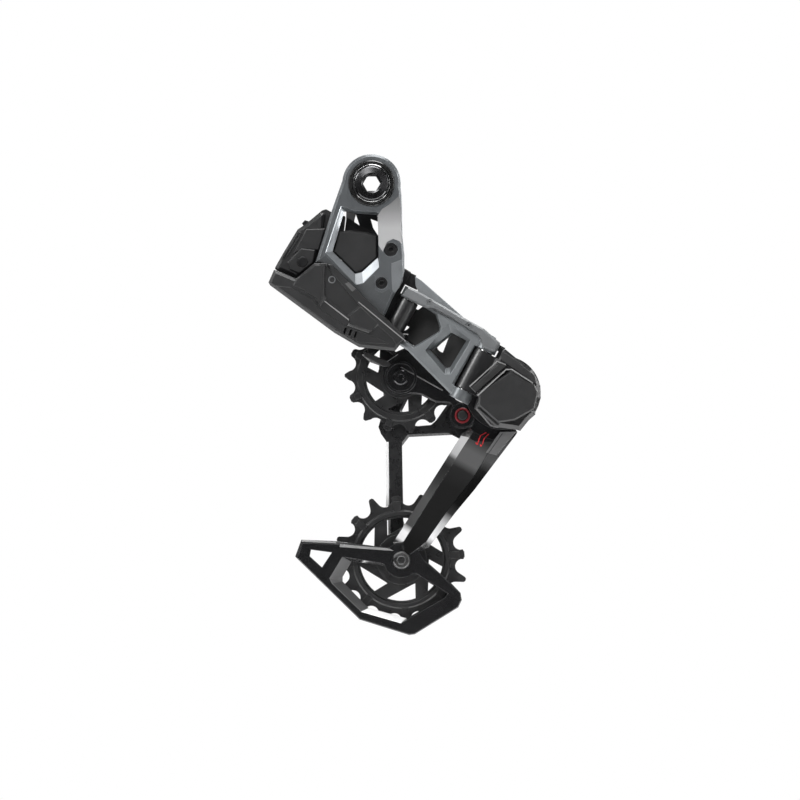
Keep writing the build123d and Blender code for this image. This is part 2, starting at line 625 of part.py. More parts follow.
# ================================================================ battery
with BuildPart() as battery_shell:
    with BuildSketch(side(10.5)):
        Polygon(*BATTERY, align=None)
        fillet(vertices().sort_by(Axis.X)[:5], 1.0)
    extrude(amount=16.1)
    bevel(faces().sort_by(Axis.Y)[-1].outer_wire().edges(), 0.8)
    with BuildSketch(side(-5.6)):
        Polygon(*BATTERY_FRONT, align=None)
    extrude(amount=3.6)
    bevel(faces().sort_by(Axis.Y)[0].outer_wire().edges(), 1.4)
    with BuildSketch(side(-9.1)):
        Polygon(*BOSS, align=None)
    extrude(amount=1.0)
    bevel(faces().sort_by(Axis.Y)[0].outer_wire().edges(), 0.5)
    with BuildSketch(side(-9.4)):
        with Locations((-35.9, -40.7)):
            Circle(2.85)
    extrude(amount=2.0, mode=Mode.SUBTRACT)
    with BuildSketch(side(11.0)):
        with Locations((-25.0, -24.0)):
            Circle(1.22)
    extrude(amount=2.6, mode=Mode.SUBTRACT)
    # thin grip strips along the back edge
    with BuildSketch(side(-9.1)):
        Polygon((-47.0, -39.4), (-46.0, -38.8), (-37.4, -25.4), (-38.2, -25.0), align=None)
        Polygon((-44.6, -38.0), (-43.8, -37.5), (-36.2, -25.6), (-36.8, -25.2), align=None)
    extrude(amount=0.7)
battery_shell.part.label = "battery_shell"
export_step(battery_shell.part, "parts/battery_shell.step")

with BuildPart() as battery_disc:
    with BuildSketch(side(-9.4)):
        with Locations((-35.9, -40.7)):
            Circle(2.8)
    extrude(amount=0.9)
    bevel(edges().filter_by(GeomType.CIRCLE).group_by(Axis.Y)[0], 0.3)
battery_disc.part.label = "battery_disc"
export_step(battery_disc.part, "parts/battery_disc.step")

LATCH_X, LATCH_Z = -25.0, -24.0
with BuildPart() as battery_latch:
    with BuildSketch(side(12.3)):
        with Locations((LATCH_X, LATCH_Z)):
            Circle(3.0)
        Polygon((-23.6, -21.4), (-35.2, -17.9), (-36.8, -19.6), (-35.6, -21.4),
                (-26.0, -26.8), align=None)
        Polygon((-25.0, -21.0), (-15.6, -25.0), (-15.2, -30.0), (-17.6, -30.0),
                (-18.2, -27.4), (-25.0, -27.0), align=None)
        with Locations((LATCH_X, LATCH_Z)):
            Circle(1.25, mode=Mode.SUBTRACT)
    extrude(amount=1.6)
    with BuildSketch(side(12.3)):
        Polygon((-35.2, -17.9), (-36.8, -19.6), (-35.4, -21.5), (-33.6, -19.9),
                align=None)
    extrude(amount=1.65)
battery_latch.part.label = "battery_latch"
export_step(battery_latch.part, "parts/battery_latch.step")

with BuildPart() as latch_pivot:
    with BuildSketch(side(12.8)):
        with Locations((LATCH_X, LATCH_Z)):
            Circle(2.2)
    extrude(amount=0.45)
    with BuildSketch(side(12.4)):
        with Locations((LATCH_X, LATCH_Z)):
            Circle(1.2)
    extrude(amount=3.9)
latch_pivot.part.label = "latch_pivot"
export_step(latch_pivot.part, "parts/latch_pivot.step")

# ================================================================ outer link
Z_LINK = 3.5                   # half thickness of the outer link's flat
SCREW_AT = lk([(12.0, 0.8), (35.5, -0.4)])
with BuildPart() as outer_link:
    with BuildSketch(link_plane(YB_OUT, -Z_LINK)):
        Polygon(*lkz(LINK, Z_LINK), align=None)
    extrude(amount=2 * Z_LINK)
    front = faces().filter_by(lambda f: abs(abs(f.normal_at().dot(
        link_plane(YB_OUT).z_dir)) - 1) < 1e-3).sort_by(Axis.Y)[0]
    bevel(front.outer_wire().edges(), 1.0)
    # window with a broad bevel all round
    with BuildSketch(link_plane(YB_OUT, -Z_LINK - 0.5)):
        Polygon(*lkz(LINK_WINDOW, Z_LINK), align=None)
    extrude(amount=8.0, mode=Mode.SUBTRACT)
    with BuildSketch(link_plane(YB_OUT, 1.0)):
        Polygon(*lkz(LINK_WINDOW, Z_LINK), align=None)
    with BuildSketch(link_plane(YB_OUT, Z_LINK + 0.02)):
        Polygon(*lkz(LINK_WINDOW_FACE, Z_LINK), align=None)
    loft(mode=Mode.SUBTRACT)
    # wing over the top of the outboard pin
    with BuildSketch(link_plane(YB_OUT, 3.2)):
        Polygon(*lkz(WING, 5.6), align=None)
    extrude(amount=2.4)
    # ears round both outer pins
    with BuildSketch(pin_plane(-2.8)):
        with Locations((0, YB_OUT)):
            Circle(5.5)
    extrude(amount=5.5)
    with BuildSketch(pin_plane(-25.5)):
        with Locations((0, YB_OUT)):
            Circle(5.5)
    extrude(amount=3.9)
    with BuildSketch(pin_plane(-8.0)):
        with Locations((U_P, YP_OUT)):
            Circle(5.5)
    extrude(amount=6.4)
    with BuildSketch(pin_plane(-37.0)):
        with Locations((U_P, YP_OUT)):
            Circle(5.5)
    extrude(amount=5.6)
    # clear of the barrels and of the shroud above the pin
    with BuildSketch(pin_plane(-21.6)):
        with Locations((0, YB_OUT)):
            Circle(6.0)
    extrude(amount=18.8, mode=Mode.SUBTRACT)
    with BuildSketch(pin_plane(-31.4)):
        with Locations((U_P, YP_OUT)):
            Circle(5.9)
    extrude(amount=23.4, mode=Mode.SUBTRACT)
    # bush bores
    with BuildSketch(pin_plane(-38.0)):
        with Locations((0, YB_OUT), (U_P, YP_OUT)):
            Circle(BUSH_R)
    extrude(amount=42.0, mode=Mode.SUBTRACT)
    # tapped holes for the bumper
    with BuildSketch(link_plane(YB_OUT, 0.5)):
        for hole in SCREW_AT:
            with Locations(hole):
                Circle(0.9)
    extrude(amount=6.0, mode=Mode.SUBTRACT)
outer_link.part.label = "outer_link"
export_step(outer_link.part, "parts/outer_link.step")

Z_BUMP0, Z_BUMP1 = 5.65, 8.2
with BuildPart() as outer_bumper:
    with BuildSketch(link_plane(YB_OUT, Z_BUMP0)):
        Polygon(*lkz(BUMPER, Z_BUMP1), align=None)
    extrude(amount=Z_BUMP1 - Z_BUMP0)
    front = faces().filter_by(lambda f: abs(abs(f.normal_at().dot(
        link_plane(YB_OUT).z_dir)) - 1) < 1e-3).sort_by(Axis.Y)[0]
    bevel(front.outer_wire().edges(), 0.9)
    # spacing bar that sits on the link between the ears
    with BuildSketch(link_plane(YB_OUT, Z_LINK + 0.02)):
        Polygon(*lk([(8.0, -1.8), (8.0, -0.4), (24.0, -0.4), (38.0, -0.6), (38.0, -2.2),
                     (23.0, -1.4)]), align=None)
    extrude(amount=2.4)
    with BuildSketch(link_plane(YB_OUT, 2.0)):
        for hole in SCREW_AT:
            with Locations(hole):
                Circle(0.95)
    extrude(amount=9.0, mode=Mode.SUBTRACT)
    with BuildSketch(link_plane(YB_OUT, 7.0)):
        for hole in SCREW_AT:
            with Locations(hole):
                Circle(1.5)
    extrude(amount=4.0, mode=Mode.SUBTRACT)
outer_bumper.part.label = "outer_bumper"
export_step(outer_bumper.part, "parts/outer_bumper.step")

with BuildPart() as bumper_screws:
    with BuildSketch(link_plane(YB_OUT, 0.8)):
        for hole in SCREW_AT:
            with Locations(hole):
                Circle(0.85)
    extrude(amount=6.2)
    with BuildSketch(link_plane(YB_OUT, 7.0)):
        for hole in SCREW_AT:
            with Locations(hole):
                Circle(1.4)
                RegularPolygon(0.6, 6, major_radius=False, mode=Mode.SUBTRACT)
    extrude(amount=0.9)
bumper_screws.part.label = "bumper_screws"
export_step(bumper_screws.part, "parts/bumper_screws.step")

with BuildPart() as outer_link_bushes:
    for a0, length, u, y in ((-2.8, 5.5, 0, YB_OUT), (-25.5, 3.9, 0, YB_OUT),
                             (-8.0, 6.4, U_P, YP_OUT), (-37.0, 5.6, U_P, YP_OUT)):
        with BuildSketch(pin_plane(a0)):
            with Locations((u, y)):
                Circle(BUSH_R)
                Circle(PIN_R + RUN, mode=Mode.SUBTRACT)
        extrude(amount=length)
outer_link_bushes.part.label = "outer_link_bushes"
export_step(outer_link_bushes.part, "parts/outer_link_bushes.step")

# ================================================================ inner link
A_IN0, A_IN1 = -15.0, -5.0
with BuildPart() as inner_link:
    with BuildSketch(link_plane(YB_IN, -1.8)):
        Polygon((2.0, A_IN0), (7.0, A_IN0), (9.5, -21.0), (38.0, -29.0), (39.0, -21.0),
                (41.0, A_IN0), (LINK_L - 2.0, A_IN0), (LINK_L - 2.0, A_IN1), (41.0, A_IN1),
                (39.0, -1.0), (12.0, 0.6), (8.5, -2.0), (7.0, A_IN1), (2.0, A_IN1),
                align=None)
        Polygon((24.2, -19.4), (30.0, -19.4), (28.4, -7.0), align=None,
                mode=Mode.SUBTRACT)
    extrude(amount=3.6)
    with BuildSketch(pin_plane(A_IN0)):
        with Locations((0, YB_IN), (U_P, YP_IN)):
            Circle(4.4)
    extrude(amount=A_IN1 - A_IN0)
    # seat of the output gear
    with BuildSketch(pin_plane(-9.2)):
        with Locations((0, YB_IN)):
            Circle(4.5)
            Circle(3.7, mode=Mode.SUBTRACT)
    extrude(amount=3.4, mode=Mode.SUBTRACT)
    with BuildSketch(pin_plane(A_IN0 - 1)):
        with Locations((0, YB_IN), (U_P, YP_IN)):
            Circle(BUSH_R - 0.3)
    extrude(amount=12.0, mode=Mode.SUBTRACT)
inner_link.part.label = "inner_link"
export_step(inner_link.part, "parts/inner_link.step")

with BuildPart() as output_gear:
    with BuildSketch(pin_plane(-9.0)):
        with Locations((0, YB_IN)):
            Polygon(*([(3.0 * math.cos(math.radians(c)), 3.0 * math.sin(math.radians(c)))
                       for c in (194, 150, 106)]
                      + arc_pts(0, 0, GEAR_M * GEAR_Z / 2 - 1.0 * GEAR_M, 106, 194, 22)),
                    align=None)
            for i in range(7):
                Polygon(*gear_tooth(GEAR_M, GEAR_Z, 186 - 12 * i, 0.14), align=None)
            Circle(4.4)
            Circle(3.75, mode=Mode.SUBTRACT)
    extrude(amount=3.0)
output_gear.part.label = "output_gear"
export_step(output_gear.part, "parts/output_gear.step")

with BuildPart() as inner_link_bushes:
    with BuildSketch(pin_plane(A_IN0)):
        with Locations((0, YB_IN), (U_P, YP_IN)):
            Circle(BUSH_R - 0.3)
            Circle(PIN_R + RUN, mode=Mode.SUBTRACT)
    extrude(amount=A_IN1 - A_IN0)
inner_link_bushes.part.label = "inner_link_bushes"
export_step(inner_link_bushes.part, "parts/inner_link_bushes.step")

# ================================================================ cage knuckle
P_BACK = 5.0                   # inboard face
P_FRONT = -31.0
CAV_R = 10.6
with BuildPart() as p_knuckle_housing:
    with BuildSketch(side(P_BACK)):
        Polygon(*[ua(u, a) for u, a in P_MAIN], align=None)
    extrude(amount=P_BACK - P_FRONT)
    bevel(faces().sort_by(Axis.Y)[0].outer_wire().edges(), 2.2)
    # round rim about the cage pivot
    with BuildSketch(side(P_BACK)):
        with Locations((CAGE_X, CAGE_Z)):
            Circle(19.2)
    extrude(amount=P_BACK + 2.6)
    with BuildSketch(side(-14.0)):
        with Locations((CAGE_X, CAGE_Z)):
            Circle(19.0)
        with Locations((CAGE_X - 20.0, CAGE_Z)):
            Rectangle(30.0, 60.0, mode=Mode.SUBTRACT)
    extrude(amount=14.0)
    # outside the rim the back is set forward, clear of the cage lock as it swings past
    with BuildSketch(side(P_BACK + 1)):
        with Locations((CAGE_X, CAGE_Z)):
            Circle(45.0)
            Circle(19.2, mode=Mode.SUBTRACT)
    extrude(amount=P_BACK + 1 - 2.7, mode=Mode.SUBTRACT)
    # round relief in which the outer link's end turns
    with BuildSketch(pin_plane(-8.7)):
        with Locations((U_P, YP_OUT)):
            Circle(10.9)
    extrude(amount=14.0, mode=Mode.SUBTRACT)
    # barrel for the outer pin
    with BuildSketch(pin_plane(-31.0)):
        with Locations((U_P, YP_OUT)):
            Circle(5.0)
        with Locations((U_P + 4.0, YP_OUT)):
            Rectangle(8.0, 10.0)
    extrude(amount=22.3)
    # ears for the inner pin
    with BuildSketch(pin_plane(-18.4), pin_plane(-4.6)):
        with Locations((U_P, YP_IN)):
            Circle(4.5)
        with Locations((U_P + 4.4, YP_IN)):
            Rectangle(8.8, 9.0)
    extrude(amount=3.0)
    with BuildSketch(pin_plane(-15.4)):
        with Locations((U_P, YP_IN)):
            Circle(5.2)
    extrude(amount=10.8, mode=Mode.SUBTRACT)
    with BuildSketch(pin_plane(-38.0)):
        with Locations((U_P, YP_OUT), (U_P, YP_IN)):
            Circle(PIN_R + 0.02)
    extrude(amount=37.5, mode=Mode.SUBTRACT)
    # spring and clutch bore, open outboard, with the spindle bore behind it
    with BuildSketch(side(0.0)):
        with Locations((CAGE_X, CAGE_Z)):
            Circle(CAV_R)
    extrude(amount=40.0, mode=Mode.SUBTRACT)
    with BuildSketch(side(P_BACK + 1)):
        with Locations((CAGE_X, CAGE_Z)):
            Circle(SPINDLE_R + RUN)
    extrude(amount=8.0, mode=Mode.SUBTRACT)
p_knuckle_housing.part.label = "p_knuckle_housing"
export_step(p_knuckle_housing.part, "parts/p_knuckle_housing.step")

with BuildPart() as p_knuckle_cover:
    with BuildSketch(side(P_FRONT)):
        Polygon(*P_COVER, align=None)
        fillet(vertices(), 1.2)
    extrude(amount=3.6)
    bevel(faces().sort_by(Axis.Y)[0].outer_wire().edges(), 1.6)
    with BuildSketch(side(P_FRONT + 2.0)):
        with Locations((CAGE_X, CAGE_Z)):
            Circle(CAV_R - 0.1)
    extrude(amount=2.0)
p_knuckle_cover.part.label = "p_knuckle_cover"
export_step(p_knuckle_cover.part, "parts/p_knuckle_cover.step")

with BuildPart() as pin_p_outer:
    with BuildSketch(pin_plane(-37.4)):
        with Locations((U_P, YP_OUT)):
            Circle(PIN_R)
    extrude(amount=36.2)
    bevel(edges().filter_by(GeomType.CIRCLE), 0.3)
pin_p_outer.part.label = "pin_p_outer"
export_step(pin_p_outer.part, "parts/pin_p_outer.step")

with BuildPart() as pin_p_inner:
    with BuildSketch(pin_plane(-19.2)):
        with Locations((U_P, YP_IN)):
            Circle(PIN_R)
    extrude(amount=18.2)
    bevel(edges().filter_by(GeomType.CIRCLE), 0.3)
pin_p_inner.part.label = "pin_p_inner"
export_step(pin_p_inner.part, "parts/pin_p_inner.step")

with BuildPart() as clutch_can:
    with BuildSketch(side(-16.0)):
        with Locations((CAGE_X, CAGE_Z)):
            Circle(CAV_R - 0.05)
            Circle(SPINDLE_R + RUN, mode=Mode.SUBTRACT)
    extrude(amount=12.8)
clutch_can.part.label = "clutch_can"
export_step(clutch_can.part, "parts/clutch_can.step")

# ================================================================ cage
with BuildPart() as cage_outer:
    with BuildSketch(side(PLATE_Y1)):
        Polygon(*CAGE_EXT, align=None)
        with Locations((CAGE_X, CAGE_Z)):
            Circle(17.0)
        with Locations((UPP_X, UPP_Z)):
            Circle(9.4)
        with Locations((LOCK_X, LOCK_Z)):
            Circle(7.0)
        Polygon(*GUIDE_SLOT, align=None, mode=Mode.SUBTRACT)
    extrude(amount=PLATE_Y1 - PLATE_Y0)
    bevel_long(faces().sort_by(Axis.Y)[0].outer_wire().edges(), 0.8, 4.0)
    # guard loop, its opening beveled inward
    with BuildSketch(side(PLATE_Y1)):
        Polygon(*GUARD, align=None)
        Polygon(*GUARD_TRI, align=None, mode=Mode.SUBTRACT)
    extrude(amount=PLATE_Y1 - GUARD_FRONT)
    bevel_long([e for e in faces().sort_by(Axis.Y)[0].outer_wire().edges()
                if (e @ 0.5).Z > -192 and (e @ 0.5).X < 8], 1.5, 5.0)
    bevel_long([e for e in faces().sort_by(Axis.Y)[0].outer_wire().edges()
                if (e @ 0.5).Z < -192], 0.5, 3.0)
    with BuildSketch(side(PLATE_Y1 + 0.1)):
        Polygon(*GUARD_OPEN, align=None)
    with BuildSketch(side(GUARD_FRONT - 0.05)):
        Polygon(*GUARD_FACE, align=None)
    loft(mode=Mode.SUBTRACT)
    # raised beam with broad bevels
    with BuildSketch(side(PLATE_Y1)):
        Polygon(*BEAM, align=None)
    extrude(amount=PLATE_Y1 - PLATE_Y0 - 0.4)
    with BuildSketch(side(PLATE_Y0 + 0.4)):
        Polygon(*BEAM, align=None)
    with BuildSketch(side(PLATE_FRONT)):
        Polygon(*BEAM_FACE, align=None)
    loft()
    with BuildSketch(side(PLATE_Y0 - 0.01)):
        with Locations((LOCK_X, LOCK_Z)):
            Circle(7.4)
    extrude(amount=6.0, mode=Mode.SUBTRACT)
    # bosses round both pulley bolts
    with BuildSketch(side(PLATE_Y0)):
        with Locations((UPP_X, UPP_Z)):
            Circle(8.4)
            Circle(7.2, mode=Mode.SUBTRACT)
    extrude(amount=0.7)
    with BuildSketch(side(PLATE_Y0)):
        with Locations((LOW_X, LOW_Z)):
            Circle(9.2)
    extrude(amount=PLATE_Y0 - GUARD_FRONT)
    # fine groove round the lock ring
    with BuildSketch(side(PLATE_Y0 + 0.3)):
        with Locations((LOCK_X, LOCK_Z)):
            Circle(6.6)
            Circle(6.2, mode=Mode.SUBTRACT)
    extrude(amount=1.0, mode=Mode.SUBTRACT)
    # the raised beam keeps clear of the cage knuckle as the cage swings
    with BuildSketch(side(PLATE_Y0 - 0.01)):
        with Locations((CAGE_X, CAGE_Z)):
            Circle(25.0)
            Circle(1.0, mode=Mode.SUBTRACT)
    extrude(amount=8.0, mode=Mode.SUBTRACT)
    # stud that carries the inner plate
    with BuildSketch(side(INNER_Y0)):
        with Locations((47.6, -127.6)):
            Circle(4.0)
    extrude(amount=INNER_Y0 - PLATE_Y1)
    # bores
    with BuildSketch(side(INNER_Y0 + 0.5)):
        with Locations((CAGE_X, CAGE_Z)):
            Circle(SPINDLE_R)
    extrude(amount=30.0, mode=Mode.SUBTRACT)
    with BuildSketch(side(PLATE_Y1 + 0.5)):
        with Locations((UPP_X, UPP_Z), (LOW_X, LOW_Z)):
            Circle(2.5)
    extrude(amount=30.0, mode=Mode.SUBTRACT)
    with BuildSketch(side(PLATE_Y0 + 1.2)):
        with Locations((UPP_X, UPP_Z)):
            Circle(4.2)
    extrude(amount=8.0, mode=Mode.SUBTRACT)
    with BuildSketch(side(PLATE_FRONT + 1.8)):
        with Locations((LOW_X, LOW_Z)):
            Circle(5.0)
    extrude(amount=8.0, mode=Mode.SUBTRACT)
    with BuildSketch(side(PLATE_Y1 + 0.5)):
        with Locations((LOCK_X, LOCK_Z)):
            Circle(2.6)
    extrude(amount=8.0, mode=Mode.SUBTRACT)
    with BuildSketch(side(INNER_Y0 + 0.5)):
        with Locations((47.6, -127.6)):
            Circle(1.4)
    extrude(amount=9.0, mode=Mode.SUBTRACT)
cage_outer.part.label = "cage_outer"
export_step(cage_outer.part, "parts/cage_outer.step")

with BuildPart() as cage_inner:
    with BuildSketch(side(INNER_Y1)):
        Polygon(*INNER, align=None)
        with Locations((UPP_X, UPP_Z)):
            Circle(9.2)
        with Locations((LOW_X, LOW_Z)):
            Circle(9.6)
        with Locations((UPP_X, UPP_Z), (LOW_X, LOW_Z)):
            Circle(2.5, mode=Mode.SUBTRACT)
        with Locations((47.6, -127.6)):
            Circle(1.7, mode=Mode.SUBTRACT)
    extrude(amount=INNER_Y1 - INNER_Y0)
    bevel_long(faces().sort_by(Axis.Y)[0].outer_wire().edges(), 1.3, 5.0)
cage_inner.part.label = "cage_inner"
export_step(cage_inner.part, "parts/cage_inner.step")

with BuildPart() as cage_stud_screw:
    with BuildSketch(side(INNER_Y1 + 1.6)):
        with Locations((47.6, -127.6)):
            Circle(3.0)
            RegularPolygon(1.5, 6, major_radius=False, mode=Mode.SUBTRACT)
    extrude(amount=1.6)
    with BuildSketch(side(INNER_Y1)):
        with Locations((47.6, -127.6)):
            Circle(1.35)
    extrude(amount=10.0)
cage_stud_screw.part.label = "cage_stud_screw"
export_step(cage_stud_screw.part, "parts/cage_stud_screw.step")

with BuildPart() as cage_spindle:
    with BuildSketch(side(P_BACK + 0.4)):
        with Locations((CAGE_X, CAGE_Z)):
            Circle(SPINDLE_R)
            Circle(3.0, mode=Mode.SUBTRACT)
    extrude(amount=P_BACK + 0.4 + 28.4)
    with BuildSketch(side(PLATE_Y1 + 1.6)):
        with Locations((CAGE_X, CAGE_Z)):
            Circle(SPINDLE_R - 0.02)
            Circle(3.0, mode=Mode.SUBTRACT)
    extrude(amount=PLATE_Y1 + 1.6 - P_BACK)
    with BuildSketch(side(PLATE_Y1 + 1.6)):
        with Locations((CAGE_X, CAGE_Z)):
            Circle(9.0)
            Circle(3.0, mode=Mode.SUBTRACT)
    extrude(amount=1.6)
cage_spindle.part.label = "cage_spindle"
export_step(cage_spindle.part, "parts/cage_spindle.step")

# tension spring, wound round the spindle
SPR_R, SPR_WIRE, SPR_PITCH = 8.4, 0.85, 2.4
with BuildPart() as tension_spring:
    with BuildLine():
        coil = Helix(pitch=SPR_PITCH, height=SPR_PITCH * 5.5, radius=SPR_R,
                     center=(CAGE_X, -1.4, CAGE_Z), direction=(0, -1, 0))
    with BuildSketch(Plane(origin=coil @ 0, z_dir=coil % 0)):
        Circle(SPR_WIRE)
    sweep(path=coil, is_frenet=True)
tension_spring.part.label = "tension_spring"
export_step(tension_spring.part, "parts/tension_spring.step")

with BuildPart() as upper_bolt:
    with BuildSketch(side(PLATE_Y0 + 1.15)):
        with Locations((UPP_X, UPP_Z)):
            Circle(4.0)
    extrude(amount=2.6)
    bevel(edges().filter_by(GeomType.CIRCLE).group_by(Axis.Y)[0], 0.6)
    with BuildSketch(side(INNER_Y1 + 0.6)):
        with Locations((UPP_X, UPP_Z)):
            Circle(2.45)
    extrude(amount=INNER_Y1 - PLATE_Y0)
    with BuildSketch(side(PLATE_Y0 + 0.6)):
        with Locations((UPP_X, UPP_Z)):
            RegularPolygon(1.5, 6, major_radius=False)
    extrude(amount=4.0, mode=Mode.SUBTRACT)
upper_bolt.part.label = "upper_bolt"
export_step(upper_bolt.part, "parts/upper_bolt.step")

with BuildPart() as lower_bolt:
    with BuildSketch(side(PLATE_FRONT + 1.75)):
        with Locations((LOW_X, LOW_Z)):
            Circle(4.6)
    extrude(amount=2.4)
    bevel(edges().filter_by(GeomType.CIRCLE).group_by(Axis.Y)[0], 0.6)
    with BuildSketch(side(INNER_Y1 + 0.6)):
        with Locations((LOW_X, LOW_Z)):
            Circle(2.45)
    extrude(amount=INNER_Y1 - PLATE_FRONT - 0.6)
    with BuildSketch(side(PLATE_FRONT + 1.2)):
        with Locations((LOW_X, LOW_Z)):
            RegularPolygon(2.0, 6, major_radius=False)
    extrude(amount=4.0, mode=Mode.SUBTRACT)
lower_bolt.part.label = "lower_bolt"
export_step(lower_bolt.part, "parts/lower_bolt.step")

with BuildPart() as lock_ring:
    with BuildSketch(side(PLATE_Y0)):
        with Locations((LOCK_X, LOCK_Z)):
            Circle(4.1)
            Circle(2.9, mode=Mode.SUBTRACT)
    extrude(amount=0.65)
    bevel(edges().filter_by(GeomType.CIRCLE).group_by(Axis.Y)[0], 0.3)
lock_ring.part.label = "lock_ring"
export_step(lock_ring.part, "parts/lock_ring.step")

with BuildPart() as lock_button:
    with BuildSketch(side(PLATE_Y1 + 1.2)):
        with Locations((LOCK_X, LOCK_Z)):
            Circle(2.55)
    extrude(amount=PLATE_Y1 + 1.2 - PLATE_Y0 + 1.4)
    bevel(edges().filter_by(GeomType.CIRCLE).group_by(Axis.Y)[0], 0.5)
    with BuildSketch(side(PLATE_Y1 + 1.6)):
        with Locations((LOCK_X, LOCK_Z)):
            Circle(2.85)
    extrude(amount=1.0)
lock_button.part.label = "lock_button"
export_step(lock_button.part, "parts/lock_button.step")


# ================================================================ pulleys
def wheel_outline(teeth, tall, short, half_tall, half_short, first):
    """Narrow-wide tooth ring seen along the axle: round roller seats on the pitch
    circle with tall and short teeth between them by turns. Half widths in mm."""
    pitch_r = CHAIN_PITCH / (2 * math.sin(math.pi / teeth))
    seat = 4.0
    step = 2 * math.pi / teeth
    pts = []
    for i in range(teeth):
        c = math.radians(first) + i * step
        tip, half = (tall, half_tall) if i % 2 == 0 else (short, half_short)
        w = half / tip
        for t, r in ((-w * 1.15, tip - 0.7), (-w * 0.55, tip), (w * 0.55, tip),
                     (w * 1.15, tip - 0.7)):
            pts.append((r * math.cos(c + t), r * math.sin(c + t)))
        g = c + step / 2
        er, et = (math.cos(g), math.sin(g)), (-math.sin(g), math.cos(g))
        for k in range(-4, 5):
            f = math.radians(k * 17)
            r0, t0 = pitch_r - seat * math.cos(f), seat * math.sin(f)
            pts.append((r0 * er[0] + t0 * et[0], r0 * er[1] + t0 * et[1]))
    return pts


def spoke_window(r_in, r_out, centre, half, lean):
    """A leaning three-cornered window between two spokes."""
    out = arc_pts(0, 0, r_out, centre - half, centre + half, 6)
    inn = [(r_in * math.cos(math.radians(centre + a)),
            r_in * math.sin(math.radians(centre + a))) for a in (lean, lean - 9)]
    return out + inn


RACE_OUT, RACE_IN, BALL_R, BALL_AT = 7.0, 4.0, 1.0, 4.95
with BuildPart() as upper_wheel:
    with BuildSketch(side(Y_CHAIN + 1.1)):
        with Locations((UPP_X, UPP_Z)):
            Polygon(*wheel_outline(UPPER_TEETH, 29.6, 29.0, 1.1, 1.9, 178.0), align=None)
            Circle(RACE_OUT, mode=Mode.SUBTRACT)
            for i in range(6):
                Polygon(*spoke_window(12.3, 18.2, 60 * i + 25, 18, 23),
                        align=None, mode=Mode.SUBTRACT)
    extrude(amount=2.2)
    with BuildSketch(side(Y_CHAIN + 1.9)):
        with Locations((UPP_X, UPP_Z)):
            Circle(23.2)
            Circle(19.2, mode=Mode.SUBTRACT)
    extrude(amount=3.8)
    bevel(edges().filter_by(GeomType.CIRCLE).group_by(Axis.Y)[0], 0.6)
    with BuildSketch(side(Y_CHAIN + 2.6)):
        with Locations((UPP_X, UPP_Z)):
            Circle(10.8)
            Circle(RACE_OUT, mode=Mode.SUBTRACT)
    extrude(amount=5.2)
    with BuildSketch(side(Y_CHAIN + 2.1)):
        with Locations((UPP_X, UPP_Z)):
            for i in range(UPPER_TEETH // 2):
                t = math.radians(178.0 + (2 * i + 1) * 360 / UPPER_TEETH)
                with Locations(Location((24.6 * math.cos(t), 24.6 * math.sin(t)),
                                        math.degrees(t))):
                    Rectangle(3.4, 3.2)
    extrude(amount=4.2)
upper_wheel.part.label = "upper_wheel"
export_step(upper_wheel.part, "parts/upper_wheel.step")

with BuildPart() as lower_wheel:
    with BuildSketch(side(Y_CHAIN + 1.1)):
        with Locations((LOW_X, LOW_Z)):
            Polygon(*wheel_outline(LOWER_TEETH, 35.6, 33.4, 1.2, 2.3, 117.2), align=None)
            Circle(RACE_OUT, mode=Mode.SUBTRACT)
            for i in range(6):
                Polygon(*spoke_window(14.6, 21.9, 60 * i + 30, 20, 30),
                        align=None, mode=Mode.SUBTRACT)
    extrude(amount=2.2)
    with BuildSketch(side(Y_CHAIN + 2.0)):
        with Locations((LOW_X, LOW_Z)):
            Circle(26.0)
            Circle(22.6, mode=Mode.SUBTRACT)
    extrude(amount=4.0)
    bevel(edges().filter_by(GeomType.CIRCLE).group_by(Axis.Y)[0], 0.8)
    with BuildSketch(side(Y_CHAIN + 2.6)):
        with Locations((LOW_X, LOW_Z)):
            Circle(13.2)
            Circle(RACE_OUT, mode=Mode.SUBTRACT)
    extrude(amount=5.2)
    with BuildSketch(side(Y_CHAIN + 2.1)):
        with Locations((LOW_X, LOW_Z)):
            for i in range(LOWER_TEETH // 2):
                t = math.radians(117.2 + (2 * i + 1) * 360 / LOWER_TEETH)
                with Locations(Location((27.9 * math.cos(t), 27.9 * math.sin(t)),
                                        math.degrees(t))):
                    Rectangle(5.2, 3.6)
    extrude(amount=4.2)
lower_wheel.part.label = "lower_wheel"
export_step(lower_wheel.part, "parts/lower_wheel.step")

